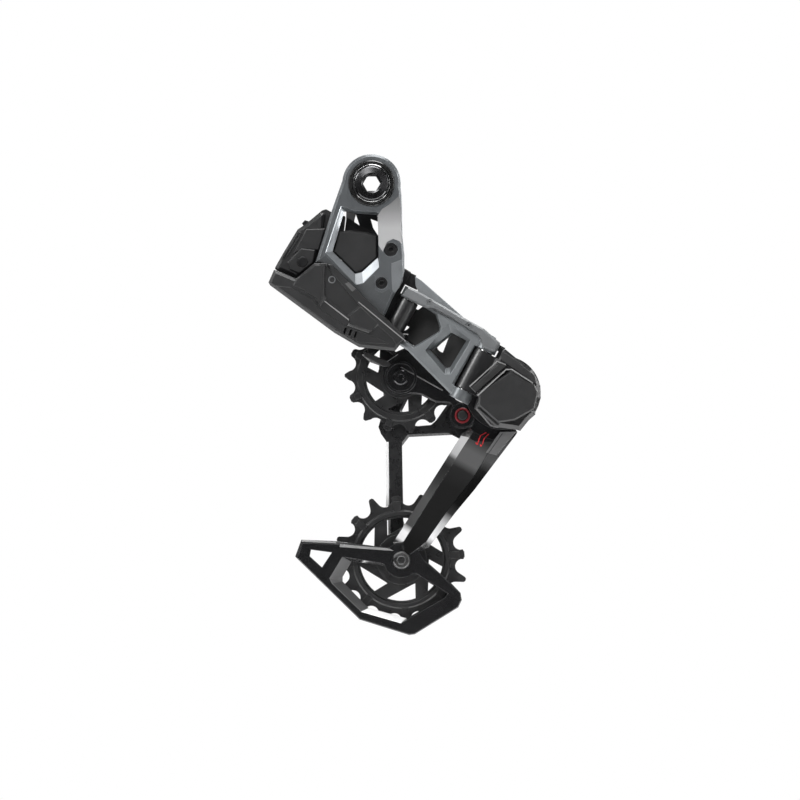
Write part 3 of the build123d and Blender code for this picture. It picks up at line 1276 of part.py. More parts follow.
for wheel, cx, cz in (("upper", UPP_X, UPP_Z), ("lower", LOW_X, LOW_Z)):
    with BuildPart() as race_outer:
        with BuildSketch(side(Y_CHAIN + 2.5)):
            with Locations((cx, cz)):
                Circle(RACE_OUT - 0.02)
                Circle(5.85, mode=Mode.SUBTRACT)
        extrude(amount=5.0)
        with Locations(Plane(origin=(cx, Y_CHAIN, cz), z_dir=(0, 1, 0))):
            Torus(BALL_AT, BALL_R + 0.06, mode=Mode.SUBTRACT)
    race_outer.part.label = wheel + "_race_outer"
    export_step(race_outer.part, "parts/" + wheel + "_race_outer.step")

    with BuildPart() as race_inner:
        with BuildSketch(side(INNER_Y0 - 0.02)):
            with Locations((cx, cz)):
                Circle(RACE_IN)
                Circle(2.5, mode=Mode.SUBTRACT)
        extrude(amount=INNER_Y0 - PLATE_Y1 - 0.04)
        with Locations(Plane(origin=(cx, Y_CHAIN, cz), z_dir=(0, 1, 0))):
            Torus(BALL_AT, BALL_R + 0.06, mode=Mode.SUBTRACT)
    race_inner.part.label = wheel + "_race_inner"
    export_step(race_inner.part, "parts/" + wheel + "_race_inner.step")

    with BuildPart() as balls:
        with Locations(Plane(origin=(cx, Y_CHAIN, cz), z_dir=(0, 1, 0))):
            with PolarLocations(BALL_AT, 11):
                Sphere(BALL_R)
    balls.part.label = wheel + "_balls"
    export_step(balls.part, "parts/" + wheel + "_balls.step")

    with BuildPart() as shields:
        for y in (Y_CHAIN + 2.45, Y_CHAIN - 2.05):
            with BuildSketch(side(y)):
                with Locations((cx, cz)):
                    Circle(5.83)
                    Circle(RACE_IN + 0.12, mode=Mode.SUBTRACT)
            extrude(amount=0.4)
    shields.part.label = wheel + "_shields"
    export_step(shields.part, "parts/" + wheel + "_shields.step")
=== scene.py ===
import bpy
import bmesh
import math
from mathutils import Matrix, Vector


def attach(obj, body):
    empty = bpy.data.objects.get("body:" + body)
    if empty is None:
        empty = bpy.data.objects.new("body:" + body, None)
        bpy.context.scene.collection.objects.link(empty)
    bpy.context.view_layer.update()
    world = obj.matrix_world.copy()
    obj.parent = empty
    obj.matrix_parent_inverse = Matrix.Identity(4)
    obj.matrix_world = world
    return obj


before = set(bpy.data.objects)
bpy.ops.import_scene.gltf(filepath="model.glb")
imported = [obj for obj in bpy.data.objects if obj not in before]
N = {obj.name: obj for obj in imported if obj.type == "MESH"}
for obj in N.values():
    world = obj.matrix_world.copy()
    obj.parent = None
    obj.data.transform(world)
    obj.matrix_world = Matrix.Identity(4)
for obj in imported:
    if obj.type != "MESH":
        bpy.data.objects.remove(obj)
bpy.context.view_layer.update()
scene = bpy.context.scene
MM = 0.001


# ------------------------------------------------------------------ materials
def material(name, base, rough, metal=0.0, coat=0.0, coat_rough=0.08, spec=0.5,
             tint=0.25, tint_scale=90.0, rough_var=0.08, rough_scale=260.0,
             grain=0.0, grain_scale=3000.0, edge=0.0, edge_colour=(0.5, 0.5, 0.5),
             edge_mm=0.35, rings=None, brush=None, aniso=0.0, sparkle=0.0):
    """A procedural finish: mottled colour, uneven gloss, grain, and lighter edges, partly wear
    and partly painted edge highlight.
    """
    m = bpy.data.materials.new(name)
    m.use_nodes = True
    nt = m.node_tree
    nd, ln = nt.nodes, nt.links
    p = nd["Principled BSDF"]
    p.inputs["Metallic"].default_value = metal
    p.inputs["Specular IOR Level"].default_value = spec
    p.inputs["Coat Weight"].default_value = coat
    p.inputs["Coat Roughness"].default_value = coat_rough
    if aniso:
        p.inputs["Anisotropic"].default_value = aniso
    co = nd.new("ShaderNodeTexCoord").outputs["Object"]

    def noise(scale, detail=4.0, rough_n=0.55, vec=None):
        n = nd.new("ShaderNodeTexNoise")
        n.inputs["Scale"].default_value = scale
        n.inputs["Detail"].default_value = detail
        n.inputs["Roughness"].default_value = rough_n
        ln.new(vec or co, n.inputs["Vector"])
        return n.outputs["Fac"]

    def ranged(fac, lo, hi, a=0.3, b=0.7):
        r = nd.new("ShaderNodeMapRange")
        r.inputs["From Min"].default_value = a
        r.inputs["From Max"].default_value = b
        r.inputs["To Min"].default_value = lo
        r.inputs["To Max"].default_value = hi
        ln.new(fac, r.inputs["Value"])
        return r.outputs["Result"]

    def mix(fac, a, b, kind="MIX"):
        x = nd.new("ShaderNodeMix")
        x.data_type = "RGBA"
        x.blend_type = kind
        if isinstance(fac, float):
            x.inputs[0].default_value = fac
        else:
            ln.new(fac, x.inputs[0])
        for s, v in ((x.inputs[6], a), (x.inputs[7], b)):
            if isinstance(v, tuple):
                s.default_value = (*v, 1.0)
            else:
                ln.new(v, s)
        return x.outputs[2]

    dark = tuple(c * (1 - tint) for c in base)
    light = tuple(min(1.0, c * (1 + tint)) for c in base)
    colour = mix(ranged(noise(tint_scale), 0.0, 1.0), dark, light)
    if sparkle:
        fl = ranged(noise(9000.0, 1.0, 0.5), 0.0, 1.0, 0.60, 0.80)
        colour = mix(fl, colour, tuple(min(1.0, c * (1 + sparkle)) for c in base))

    bev = nd.new("ShaderNodeBevel")
    bev.samples = 4
    bev.inputs["Radius"].default_value = edge_mm * MM
    normal = bev.outputs["Normal"]
    rough_out = ranged(noise(rough_scale), max(0.02, rough - rough_var), rough + rough_var)
    # lighter edges: part wear, part painted highlight laid along every edge
    if edge:
        geo = nd.new("ShaderNodeNewGeometry")
        dot = nd.new("ShaderNodeVectorMath")
        dot.operation = "DOT_PRODUCT"
        ln.new(bev.outputs["Normal"], dot.inputs[0])
        ln.new(geo.outputs["Normal"], dot.inputs[1])
        worn_edge_and_painted_highlight = ranged(dot.outputs["Value"], edge, 0.0, 0.90, 0.995)
        patch = ranged(noise(420.0, 5.0, 0.6), 0.35, 1.0, 0.35, 0.6)
        mul = nd.new("ShaderNodeMath")
        mul.operation = "MULTIPLY"
        ln.new(worn_edge_and_painted_highlight, mul.inputs[0])
        ln.new(patch, mul.inputs[1])
        colour = mix(mul.outputs[0], colour, edge_colour)
    ln.new(colour, p.inputs["Base Color"])
    ln.new(rough_out, p.inputs["Roughness"])

    height = noise(grain_scale, 3.0, 0.6)
    bump = nd.new("ShaderNodeBump")
    bump.inputs["Strength"].default_value = max(grain, 0.004)
    bump.inputs["Distance"].default_value = 0.00012
    ln.new(height, bump.inputs["Height"])
    ln.new(normal, bump.inputs["Normal"])
    last = bump
    # slow unevenness of a moulded or cast face
    slow = nd.new("ShaderNodeBump")
    slow.inputs["Strength"].default_value = 0.12
    slow.inputs["Distance"].default_value = 0.0006
    ln.new(noise(110.0, 2.0, 0.4), slow.inputs["Height"])
    ln.new(last.outputs["Normal"], slow.inputs["Normal"])
    last = slow
    if rings:
        cx, cz, pitch = rings
        sep = nd.new("ShaderNodeSeparateXYZ")
        ln.new(co, sep.inputs[0])
        com = nd.new("ShaderNodeCombineXYZ")
        ln.new(sep.outputs["X"], com.inputs["X"])
        ln.new(sep.outputs["Z"], com.inputs["Y"])
        sub = nd.new("ShaderNodeVectorMath")
        sub.operation = "SUBTRACT"
        sub.inputs[1].default_value = (cx, cz, 0.0)
        ln.new(com.outputs[0], sub.inputs[0])
        ln2 = nd.new("ShaderNodeVectorMath")
        ln2.operation = "LENGTH"
        ln.new(sub.outputs[0], ln2.inputs[0])
        mulr = nd.new("ShaderNodeMath")
        mulr.operation = "MULTIPLY"
        mulr.inputs[1].default_value = 2 * math.pi / pitch
        ln.new(ln2.outputs["Value"], mulr.inputs[0])
        sn = nd.new("ShaderNodeMath")
        sn.operation = "SINE"
        ln.new(mulr.outputs[0], sn.inputs[0])
        rb = nd.new("ShaderNodeBump")
        rb.inputs["Strength"].default_value = 0.25
        rb.inputs["Distance"].default_value = 0.00003
        ln.new(sn.outputs[0], rb.inputs["Height"])
        ln.new(last.outputs["Normal"], rb.inputs["Normal"])
        last = rb
    if brush:
        mp = nd.new("ShaderNodeMapping")
        mp.inputs["Scale"].default_value = brush
        ln.new(co, mp.inputs["Vector"])
        bb = nd.new("ShaderNodeBump")
        bb.inputs["Strength"].default_value = 0.2
        bb.inputs["Distance"].default_value = 0.00004
        ln.new(noise(1.0, 3.0, 0.6, mp.outputs[0]), bb.inputs["Height"])
        ln.new(last.outputs["Normal"], bb.inputs["Normal"])
        last = bb
    ln.new(last.outputs["Normal"], p.inputs["Normal"])
    return m


M = {}
M["cast_grey"] = material("cast_grey", (0.104, 0.111, 0.117), 0.34, metal=0.45, tint=0.10,
                          rough_var=0.05, grain=0.12, grain_scale=5200, sparkle=0.8,
                          edge=0.55, edge_colour=(0.34, 0.36, 0.38), edge_mm=0.4)
M["link_grey"] = material("link_grey", (0.112, 0.120, 0.125), 0.34, metal=0.45, tint=0.10,
                          rough_var=0.05, grain=0.12, grain_scale=5200, sparkle=0.8,
                          edge=0.55, edge_colour=(0.36, 0.38, 0.40), edge_mm=0.4)
M["bumper_grey"] = material("bumper_grey", (0.088, 0.092, 0.095), 0.38, metal=0.35, tint=0.10,
                            rough_var=0.05, grain=0.12, grain_scale=5200, sparkle=0.6,
                            edge=0.4, edge_colour=(0.26, 0.27, 0.28), edge_mm=0.25)
M["body_black"] = material("body_black", (0.006, 0.006, 0.0065), 0.36, metal=0.0, coat=0.25,
                           coat_rough=0.25, tint=0.2, grain=0.10, grain_scale=4200,
                           edge=0.4, edge_colour=(0.11, 0.11, 0.115), edge_mm=0.35)
M["plastic_black"] = material("plastic_black", (0.0095, 0.0095, 0.010), 0.47, tint=0.15,
                              rough_var=0.05, grain=0.35, grain_scale=2600,
                              edge=0.35, edge_colour=(0.09, 0.09, 0.09), edge_mm=0.3)
# a lighter grey copy of the black plastic for tilted cover facets: painted sheen
M["plastic_painted_sheen"] = material("plastic_painted_sheen", (0.050, 0.050, 0.050), 0.42, tint=0.12,
                              rough_var=0.05, grain=0.3, grain_scale=2600,
                              edge=0.3, edge_colour=(0.13, 0.13, 0.13), edge_mm=0.3)
M["gloss_black"] = material("gloss_black", (0.006, 0.006, 0.0065), 0.24, coat=0.6,
                            coat_rough=0.10, tint=0.1, rough_var=0.02, grain=0.004,
                            grain_scale=5200, edge=0.35, edge_colour=(0.16, 0.16, 0.165),
                            edge_mm=0.45)
M["guard_black"] = material("guard_black", (0.011, 0.011, 0.0115), 0.30, coat=0.4,
                            coat_rough=0.15, tint=0.2, rough_var=0.06, grain=0.10,
                            grain_scale=3500, edge=0.4, edge_colour=(0.14, 0.14, 0.145),
                            edge_mm=0.4)
# painted light: dim and bright sheen on facets, highlight lines and lit faces as lighter greys;
# shadow_black is painted shade
for key, base, rough in (("plastic_painted_dim_sheen", (0.020, 0.020, 0.0205), 0.44),
                         ("plastic_painted_highlight", (0.075, 0.075, 0.075), 0.42),
                         # painted highlight lines laid along edges, from dim to near white
                         ("painted_highlight_line", (0.22, 0.22, 0.22), 0.40),
                         ("painted_highlight_dim", (0.13, 0.13, 0.131), 0.36),
                         ("painted_highlight_bright", (0.72, 0.72, 0.72), 0.40),
                         # guard bevel faces: painted sheen, and a near-white painted highlight
                         ("guard_painted_sheen", (0.075, 0.075, 0.076), 0.36),
                         ("guard_facet_lit", (0.90, 0.90, 0.90), 0.42),
                         ("shadow_black", (0.0035, 0.0035, 0.0035), 0.60)):
    M[key] = material(key, base, rough, tint=0.12, rough_var=0.05, grain=0.25,
                      grain_scale=2600, edge=0.3,
                      edge_colour=tuple(min(1.0, c * 2.2) for c in base), edge_mm=0.2)
# lit and shaded copies of the cast grey: painted light and painted shade on arm facets
for key, k in (("cast_painted_lit", 1.75), ("cast_painted_half_lit", 1.22), ("cast_painted_shade", 0.82),
               ("cast_painted_highlight", 4.6), ("cast_painted_pale_highlight", 2.4)):
    M[key] = material(key, (0.108 * k, 0.114 * k, 0.119 * k), 0.34, metal=0.45, tint=0.10,
                      rough_var=0.05, grain=0.12, grain_scale=5200, sparkle=0.8, edge=0.4,
                      edge_colour=(0.34, 0.36, 0.38), edge_mm=0.2)
M["inner_black"] = material("inner_black", (0.012, 0.012, 0.0125), 0.30, coat=0.4,
                            coat_rough=0.15, tint=0.2, grain=0.08, edge=0.4,
                            edge_colour=(0.14, 0.14, 0.145), edge_mm=0.35)
M["dark_chrome"] = material("dark_chrome", (0.11, 0.11, 0.113), 0.22, metal=1.0, tint=0.12,
                            rough_var=0.02, grain=0.01,
                            edge=0.3, edge_colour=(0.4, 0.4, 0.4), edge_mm=0.2)
M["bright_ring"] = material("bright_ring", (0.42, 0.42, 0.42), 0.16, metal=1.0, tint=0.08,
                            rough_var=0.06, grain=0.04, edge=0.3,
                            edge_colour=(0.85, 0.85, 0.85), edge_mm=0.2)
M["ring_black"] = material("ring_black", (0.006, 0.006, 0.006), 0.28, coat=0.3, tint=0.2,
                           grain=0.05, edge=0.3, edge_colour=(0.08, 0.08, 0.08),
                           edge_mm=0.3)
M["steel"] = material("steel", (0.42, 0.42, 0.42), 0.26, metal=1.0, tint=0.12,
                      rough_var=0.08, grain=0.05, brush=(3000, 3000, 300), edge=0.4,
                      edge_colour=(0.75, 0.75, 0.75), edge_mm=0.2)
M["black_oxide"] = material("black_oxide", (0.03, 0.03, 0.031), 0.36, metal=0.8, tint=0.2,
                            grain=0.10, edge=0.5, edge_colour=(0.22, 0.22, 0.22),
                            edge_mm=0.2)
M["bolt_dark"] = material("bolt_dark", (0.10, 0.10, 0.10), 0.30, metal=0.9, tint=0.25,
                          tint_scale=900, grain=0.10, edge=0.9,
                          edge_colour=(0.62, 0.62, 0.62), edge_mm=0.45)
M["bronze"] = material("bronze", (0.42, 0.28, 0.13), 0.42, metal=1.0, tint=0.2,
                       grain=0.25, grain_scale=6000, edge=0.3,
                       edge_colour=(0.7, 0.52, 0.3), edge_mm=0.15)
M["aluminium"] = material("aluminium", (0.55, 0.56, 0.57), 0.3, metal=1.0, tint=0.08,
                          grain=0.06, brush=(400, 4000, 400), edge=0.3,
                          edge_colour=(0.8, 0.8, 0.8), edge_mm=0.2)
M["red_anodised"] = material("red_anodised", (0.20, 0.012, 0.018), 0.40, metal=0.3,
                             coat=0.3, tint=0.15, grain=0.05, edge=0.4,
                             edge_colour=(0.8, 0.12, 0.10), edge_mm=0.15)
M["red_paint"] = material("red_paint", (0.50, 0.012, 0.016), 0.38, tint=0.12, grain=0.1,
                          edge=0.1, edge_colour=(0.6, 0.1, 0.1), edge_mm=0.05)
M["circuit"] = material("circuit", (0.01, 0.07, 0.03), 0.3, coat=0.5, tint=0.3, grain=0.1,
                        tint_scale=900, edge=0.2, edge_colour=(0.2, 0.3, 0.15),
                        edge_mm=0.1)
M["gold_contact"] = material("gold_contact", (0.75, 0.52, 0.18), 0.2, metal=1.0, tint=0.1,
                             grain=0.04, edge=0.2, edge_colour=(0.9, 0.7, 0.35),
                             edge_mm=0.1)
M["lamp"] = material("lamp", (0.16, 0.165, 0.17), 0.22, coat=0.6, tint=0.15, grain=0.05,
                     edge=0.3, edge_colour=(0.5, 0.5, 0.5), edge_mm=0.1)
M["pulley_black"] = material("pulley_black", (0.014, 0.014, 0.0145), 0.34, coat=0.15,
                             tint=0.2, grain=0.15, grain_scale=3200, edge=0.4,
                             edge_colour=(0.12, 0.12, 0.12), edge_mm=0.35)

LOOK = {
    "mount_arm_outer": "cast_grey", "b_knuckle_housing": "body_black",
    "mount_bolt": "dark_chrome", "mount_insert": "black_oxide",
    "bolt_ring_dark": "ring_black", "bolt_ring_bright": "bright_ring",
    "arm_screw_upper": "black_oxide", "arm_screw_lower": "black_oxide",
    "skid_cover": "plastic_black", "cover_screws": "black_oxide",
    "window_plate": "plastic_black", "gearmotor_can": "steel",
    "motor_bay_cap": "plastic_black", "motor_pinion": "bronze",
    "circuit_board": "circuit", "battery_contacts": "gold_contact",
    "lamp_lens": "lamp", "pairing_button": "plastic_black", "pin_b_outer": "steel",
    "pin_b_inner": "steel", "battery_shell": "plastic_black",
    "battery_disc": "black_oxide", "battery_latch": "black_oxide", "latch_pivot": "steel",
    "outer_link": "link_grey", "outer_bumper": "bumper_grey",
    "bumper_screws": "bumper_grey", "outer_link_bushes": "bronze",
    "inner_link": "shadow_black", "output_gear": "bronze", "inner_link_bushes": "bronze",
    "p_knuckle_housing": "body_black", "p_knuckle_cover": "plastic_black",
    "pin_p_outer": "steel", "pin_p_inner": "steel", "clutch_can": "steel",
    "cage_outer": "gloss_black", "cage_inner": "inner_black",
    "cage_stud_screw": "black_oxide", "cage_spindle": "aluminium",
    "tension_spring": "black_oxide", "upper_bolt": "dark_chrome",
    "lower_bolt": "bolt_dark", "lock_ring": "red_anodised",
    "lock_button": "plastic_black",
}
for w in ("upper", "lower"):
    LOOK[w + "_wheel"] = "pulley_black"
    for part in ("race_outer", "race_inner", "balls"):
        LOOK[w + "_" + part] = "steel"
    LOOK[w + "_shields"] = "black_oxide"
for node, ob in N.items():
    m = M[LOOK[node]]
    if not ob.material_slots:
        ob.data.materials.append(m)
    for slot in ob.material_slots:
        slot.material = m

# ------------------------------------------------------------------ facets and lines, many coloured with painted sheen, painted highlight and painted shade
PLATES = [
    ("cover_facet_left", "mount_knuckle", "plastic_painted_sheen", -17.2, -17.75, 0.2,
     [(-39.73, -49.81), (-29.5, -44.37), (-28.59, -51.63), (-29.62, -56.03), (-37.27, -51.95)]),
    ("cover_facet_mid", "mount_knuckle", "plastic_painted_dim_sheen", -17.0, -18.0, 0.3,
     [(-28.71, -44.19), (-26.38, -41.6), (-23.53, -41.6), (-24.31, -47.75), (-24.18, -58.11),
      (-23.14, -59.53), (-26.25, -63.81), (-28.71, -60.83), (-29.36, -56.49),
      (-28.19, -51.63)]),
    ("cover_facet_quad", "mount_knuckle", "plastic_painted_sheen", -16.4, -18.0, 0.3,
     [(-5.21, -63.94), (4.18, -73.33), (-1.65, -77.86), (-12.65, -73.97), (-11.23, -72.35),
      (-12.01, -70.41)]),
    ("cover_lower_line", "mount_knuckle", "painted_highlight_line", -16.4, -17.7, 0.05,
     [(-25.61, -60.56), (-25.22, -60.24), (-11.1, -71.05), (-11.49, -71.51)]),
    ("cover_ridge", "mount_knuckle", "plastic_black", -16.5, -17.9, 0.35,
     [(-22.37, -42.05), (-20.3, -42.31), (-7.48, -55.19), (8.07, -70.73), (17.52, -79.99),
      (12.92, -84.4), (10.91, -80.77), (0.3, -71.06), (-11.36, -57.78), (-20.43, -47.1)]),
    ("cover_ridge_patch", "mount_knuckle", "plastic_painted_highlight", -17.6, -18.0, 0.15,
     [(-13.69, -52.28), (-11.75, -51.25), (-7.99, -54.87), (-9.93, -56.43)]),
    ("battery_panel", "battery", "plastic_black", -8.6, -9.75, 0.45,
     [(-34.24, -23.53), (-24.16, -23.27), (-27.6, -34.46), (-35.86, -33.94), (-40.87, -36.41),
      (-38.27, -31.53)]),
    # arm facets in lit and shaded copies of the cast grey: painted light and painted shade
    ("arm_facet_low", "mount_knuckle", "cast_painted_lit", -13.4, -14.12, 0.1,
     [(10.32, -41.65), (15.97, -39.5), (16.36, -47.61), (14.54, -53.97), (11.95, -57.09),
      (10.78, -55.4), (10.19, -45.02)]),
    ("arm_facet_high", "mount_knuckle", "cast_painted_half_lit", -13.4, -14.1, 0.08,
     [(14.41, -6.48), (8.96, -11.28), (5.46, -13.35), (3.19, -16.79), (3.64, -32.04),
      (5.78, -35.61), (8.05, -30.42), (11.3, -28.8), (14.22, -29.97), (15.71, -31.52),
      (15.32, -13.87)]),
    ("arm_facet_toe", "mount_knuckle", "cast_painted_shade", -13.4, -14.08, 0.06,
     [(-28.28, -40.35), (-24.07, -37.23), (-9.14, -51.64), (-5.57, -52.93), (0.91, -47.61),
      (1.89, -48.26), (1.89, -55.4), (5.46, -56.7), (9.35, -54.43), (10.32, -57.35),
      (5.59, -68.7), (-7.52, -54.88), (-20.5, -42.42)]),
    ("p_band", "cage_knuckle", "plastic_painted_dim_sheen", -29.8, -31.5, 0.35,
     [(67.19, -87.43), (74.07, -91.42), (84.35, -100.16), (85.38, -104.79), (81.65, -102.73),
      (73.17, -96.56), (70.21, -94.5), (66.87, -92.06)]),
    ("cage_ridge_line", "cage", "painted_highlight_dim", 6.2, 5.45, 0.2,
     [(14.8, -95.3), (15.64, -95.09), (37.46, -107.15), (37.04, -107.78)]),
    ("cage_flange", "cage", "plastic_painted_dim_sheen", 6.2, 5.3, 0.25,
     [(-3.56, -87.06), (8.51, -92.15), (10.87, -94.04), (9.14, -95.09), (6.41, -95.09),
      (-4.34, -89.53)]),
    ("cage_edge_diag", "cage", "painted_highlight_dim", 6.2, 5.2, 0.08,
     [(7.88, -92.15), (8.19, -92.47), (13.96, -88.59), (13.65, -88.17)]),
    ("window_web", "mount_knuckle", "body_black", 8.8, 5.97, 0.15,
     [(-14.3, -24.62), (-13.45, -17.8), (-13.4, -12.9), (-11.69, -12.29), (-8.94, -14.78),
      (-9.2, -19.11), (-5.66, -21.34), (0.24, -24.36), (3.52, -27.25), (3.39, -29.87),
      (-11.69, -31.18)]),
    ("window_web_lit", "mount_knuckle", "plastic_painted_highlight", 6.4, 5.9, 0.12,
     [(-12.87, -12.95), (-8.28, -14.92), (-9.33, -18.85), (-12.87, -16.89)]),
    ("p_ridge", "cage_knuckle", "plastic_painted_dim_sheen", -29.8, -31.7, 0.4,
     [(50.92, -106.07), (66.22, -93.09), (69.95, -94.5), (69.56, -95.27), (55.29, -107.74),
      (53.62, -108.77)]),
    ("p_groove", "cage_knuckle", "ring_black", -31.0, -34.66, 0.0,
     [(54.97, -108.78), (69.35, -96.46), (69.99, -96.71), (55.61, -109.42)]),
    ("beam_facet_top", "cage", "painted_highlight_dim", 6.0, 2.7, 0.1,
     [(59.71, -140.0), (67.3, -129.13), (75.68, -129.13), (65.34, -141.44)]),
    ("strut_edge", "cage", "painted_highlight_bright", 19.9, 19.12, 0.15,
     [(7.27, -134.56), (8.86, -134.56), (9.12, -167.71), (7.27, -169.03)]),
    ("guard_top_strip", "cage", "painted_highlight_line", 4.0, 3.36, 0.08,
     [(-36.54, -185.85), (-18.86, -186.9), (-18.47, -187.68), (-36.81, -186.77)]),
    ("guard_top_strip2", "cage", "painted_highlight_line", 4.0, 3.3, 0.12,
     [(-16.5, -188.07), (9.56, -190.43), (11.66, -191.61), (-16.9, -189.51)]),
    ("p_cover_line", "cage_knuckle", "painted_highlight_line", -34.0, -34.74, 0.0,
     [(54.36, -109.93), (69.21, -96.51), (72.33, -96.51), (83.11, -103.46), (82.87, -103.94),
      (72.09, -97.11), (69.45, -97.11), (54.84, -110.53)]),
    ("p_band_line", "cage_knuckle", "painted_highlight_line", -31.0, -31.78, 0.0,
     [(50.34, -105.37), (64.74, -92.29), (69.3, -94.09), (69.06, -94.57), (64.86, -92.89),
      (50.82, -105.85)]),
    ("p_under_line", "cage_knuckle", "painted_highlight_dim", -29.8, -31.7, 0.0,
     [(54.42, -116.88), (61.62, -125.28), (65.7, -126.48), (65.22, -126.96), (61.14, -125.88),
      (53.94, -117.36)]),
    ("cover_ridge_line", "mount_knuckle", "painted_highlight_line", -17.2, -17.98, 0.0,
     [(-6.44, -61.56), (17.98, -81.87), (17.61, -82.23), (-6.8, -61.92)]),
    ("mark_1_a", "cage", "red_paint", 6.2, 5.74, 0.0,
     [(59.9, -129.41), (60.16, -129.8), (57.17, -131.36), (56.68, -131.13), (56.68, -131.12)]),
    ("mark_1_b", "cage", "red_paint", 3.2, 2.72, 0.0,
     [(57.17, -131.36), (57.14, -131.38), (55.83, -134.92), (55.37, -134.79),
      (56.68, -131.13)]),
    ("mark_1_foot_b", "cage", "red_paint", 3.2, 2.72, 0.0,
     [(54.39, -134.65), (55.83, -135.18), (55.57, -135.97), (54.78, -135.83), (54.65, -135.31),
      (54.26, -135.31)]),
    ("mark_2_a", "cage", "red_paint", 6.2, 5.74, 0.0,
     [(61.21, -130.07), (61.6, -130.46), (59.57, -132.39), (59.08, -132.2)]),
    ("mark_2_b", "cage", "red_paint", 3.2, 2.72, 0.0,
     [(59.57, -132.39), (58.98, -132.95), (58.19, -135.83), (57.73, -135.7), (58.59, -132.69),
      (59.08, -132.2)]),
    ("mark_2_foot_b", "cage", "red_paint", 3.2, 2.72, 0.0,
     [(56.62, -135.7), (57.8, -136.1), (57.54, -136.88), (56.75, -136.75)]),
]


def prism(name, pts, y0, y1, bev):
    """A flat-faced plate seen from outboard: outline in mm, from depth y0 out to y1,
    its outboard rim drawn in by bev."""
    bm = bmesh.new()
    n = len(pts)
    area = sum(pts[i][0] * pts[(i + 1) % n][1] - pts[(i + 1) % n][0] * pts[i][1]
               for i in range(n))
    if area < 0:
        pts = pts[::-1]
    inset = []
    for i in range(n):
        a, b, c = Vector(pts[i - 1]), Vector(pts[i]), Vector(pts[(i + 1) % n])
        d1, d2 = (b - a).normalized(), (c - b).normalized()
        n1, n2 = Vector((-d1.y, d1.x)), Vector((-d2.y, d2.x))
        m = (n1 + n2)
        m = m / max(0.35, m.length_squared / 2.0) if m.length > 1e-6 else n1
        inset.append(b + m * bev)
    layers = [(pts, y0)]
    if bev:
        layers += [(pts, y1 + min(bev, abs(y1 - y0) * 0.6)), (inset, y1)]
    else:
        layers += [(pts, y1)]
    rows = [[bm.verts.new((p[0] * MM, y * MM, p[1] * MM)) for p in lay]
            for lay, y in layers]
    for r0, r1 in zip(rows, rows[1:]):
        for i in range(n):
            j = (i + 1) % n
            bm.faces.new((r0[i], r0[j], r1[j], r1[i]))
    bm.faces.new(rows[-1])
    bm.faces.new(rows[0][::-1])
    bmesh.ops.recalc_face_normals(bm, faces=bm.faces)
    me = bpy.data.meshes.new(name)
    bm.to_mesh(me)
    bm.free()
    return bpy.data.objects.new(name, me)


for name, body, look, y0, y1, bev, pts in PLATES:
    ob = prism(name, pts, y0, y1, bev)
    scene.collection.objects.link(ob)
    ob.data.materials.append(M[look])
    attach(ob, body)


def graded(name, start, end, stops, rough=0.55, spec=0.25):
    """A material whose grey changes along a line in the X-Z plane; here it paints light and
    shade into the colour.
    """
    m = bpy.data.materials.new(name)
    m.use_nodes = True
    nd, ln = m.node_tree.nodes, m.node_tree.links
    p = nd["Principled BSDF"]
    p.inputs["Specular IOR Level"].default_value = spec
    axis = Vector((end[0] - start[0], 0.0, end[1] - start[1])) * MM
    co = nd.new("ShaderNodeTexCoord").outputs["Object"]
    sub = nd.new("ShaderNodeVectorMath")
    sub.operation = "SUBTRACT"
    sub.inputs[1].default_value = (start[0] * MM, 0.0, start[1] * MM)
    ln.new(co, sub.inputs[0])
    dot = nd.new("ShaderNodeVectorMath")
    dot.operation = "DOT_PRODUCT"
    dot.inputs[1].default_value = axis / axis.length_squared
    ln.new(sub.outputs[0], dot.inputs[0])
    ramp = nd.new("ShaderNodeValToRGB")
    e = ramp.color_ramp.elements
    while len(e) < len(stops):
        e.new(1.0)
    for el, (pos, grey) in zip(e, stops):
        el.position = pos
    for el, (pos, grey) in zip(e, stops):
        el.color = (grey, grey, grey * 1.01, 1.0)
    ln.new(dot.outputs["Value"], ramp.inputs[0])
    ln.new(ramp.outputs["Color"], p.inputs["Base Color"])
    noise = nd.new("ShaderNodeTexNoise")
    noise.inputs["Scale"].default_value = 300.0
    ln.new(co, noise.inputs["Vector"])
    rr = nd.new("ShaderNodeMapRange")
    rr.inputs["To Min"].default_value = rough - 0.06
    rr.inputs["To Max"].default_value = rough + 0.06
    ln.new(noise.outputs["Fac"], rr.inputs["Value"])
    ln.new(rr.outputs["Result"], p.inputs["Roughness"])
    M[name] = m
    return name


def place(bm, name, body, look):
    bmesh.ops.recalc_face_normals(bm, faces=bm.faces)
    me = bpy.data.meshes.new(name)
    bm.to_mesh(me)
    bm.free()
    ob = bpy.data.objects.new(name, me)
    scene.collection.objects.link(ob)
    ob.data.materials.append(M[look])
    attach(ob, body)
    return ob


def facet(name, body, look, front, y_front, back, y_back, proud=0.06, thick=0.25):
    """A thin sloping facet laid on a bevel: front edge outboard, back edge deeper."""
    bm = bmesh.new()
    quad = [Vector((front[0][0], y_front, front[0][1])),
            Vector((front[1][0], y_front, front[1][1])),
            Vector((back[1][0], y_back, back[1][1])),
            Vector((back[0][0], y_back, back[0][1]))]
    n = (quad[1] - quad[0]).cross(quad[3] - quad[0]).normalized()
    if n.y > 0:
        n = -n
    top = [bm.verts.new((p + n * proud) * MM) for p in quad]
    low = [bm.verts.new((p + n * (proud - thick)) * MM) for p in quad]
    bm.faces.new(top)
    bm.faces.new(low[::-1])
    for i in range(4):
        j = (i + 1) % 4
        bm.faces.new((top[i], low[i], low[j], top[j]))
    return place(bm, name, body, look)


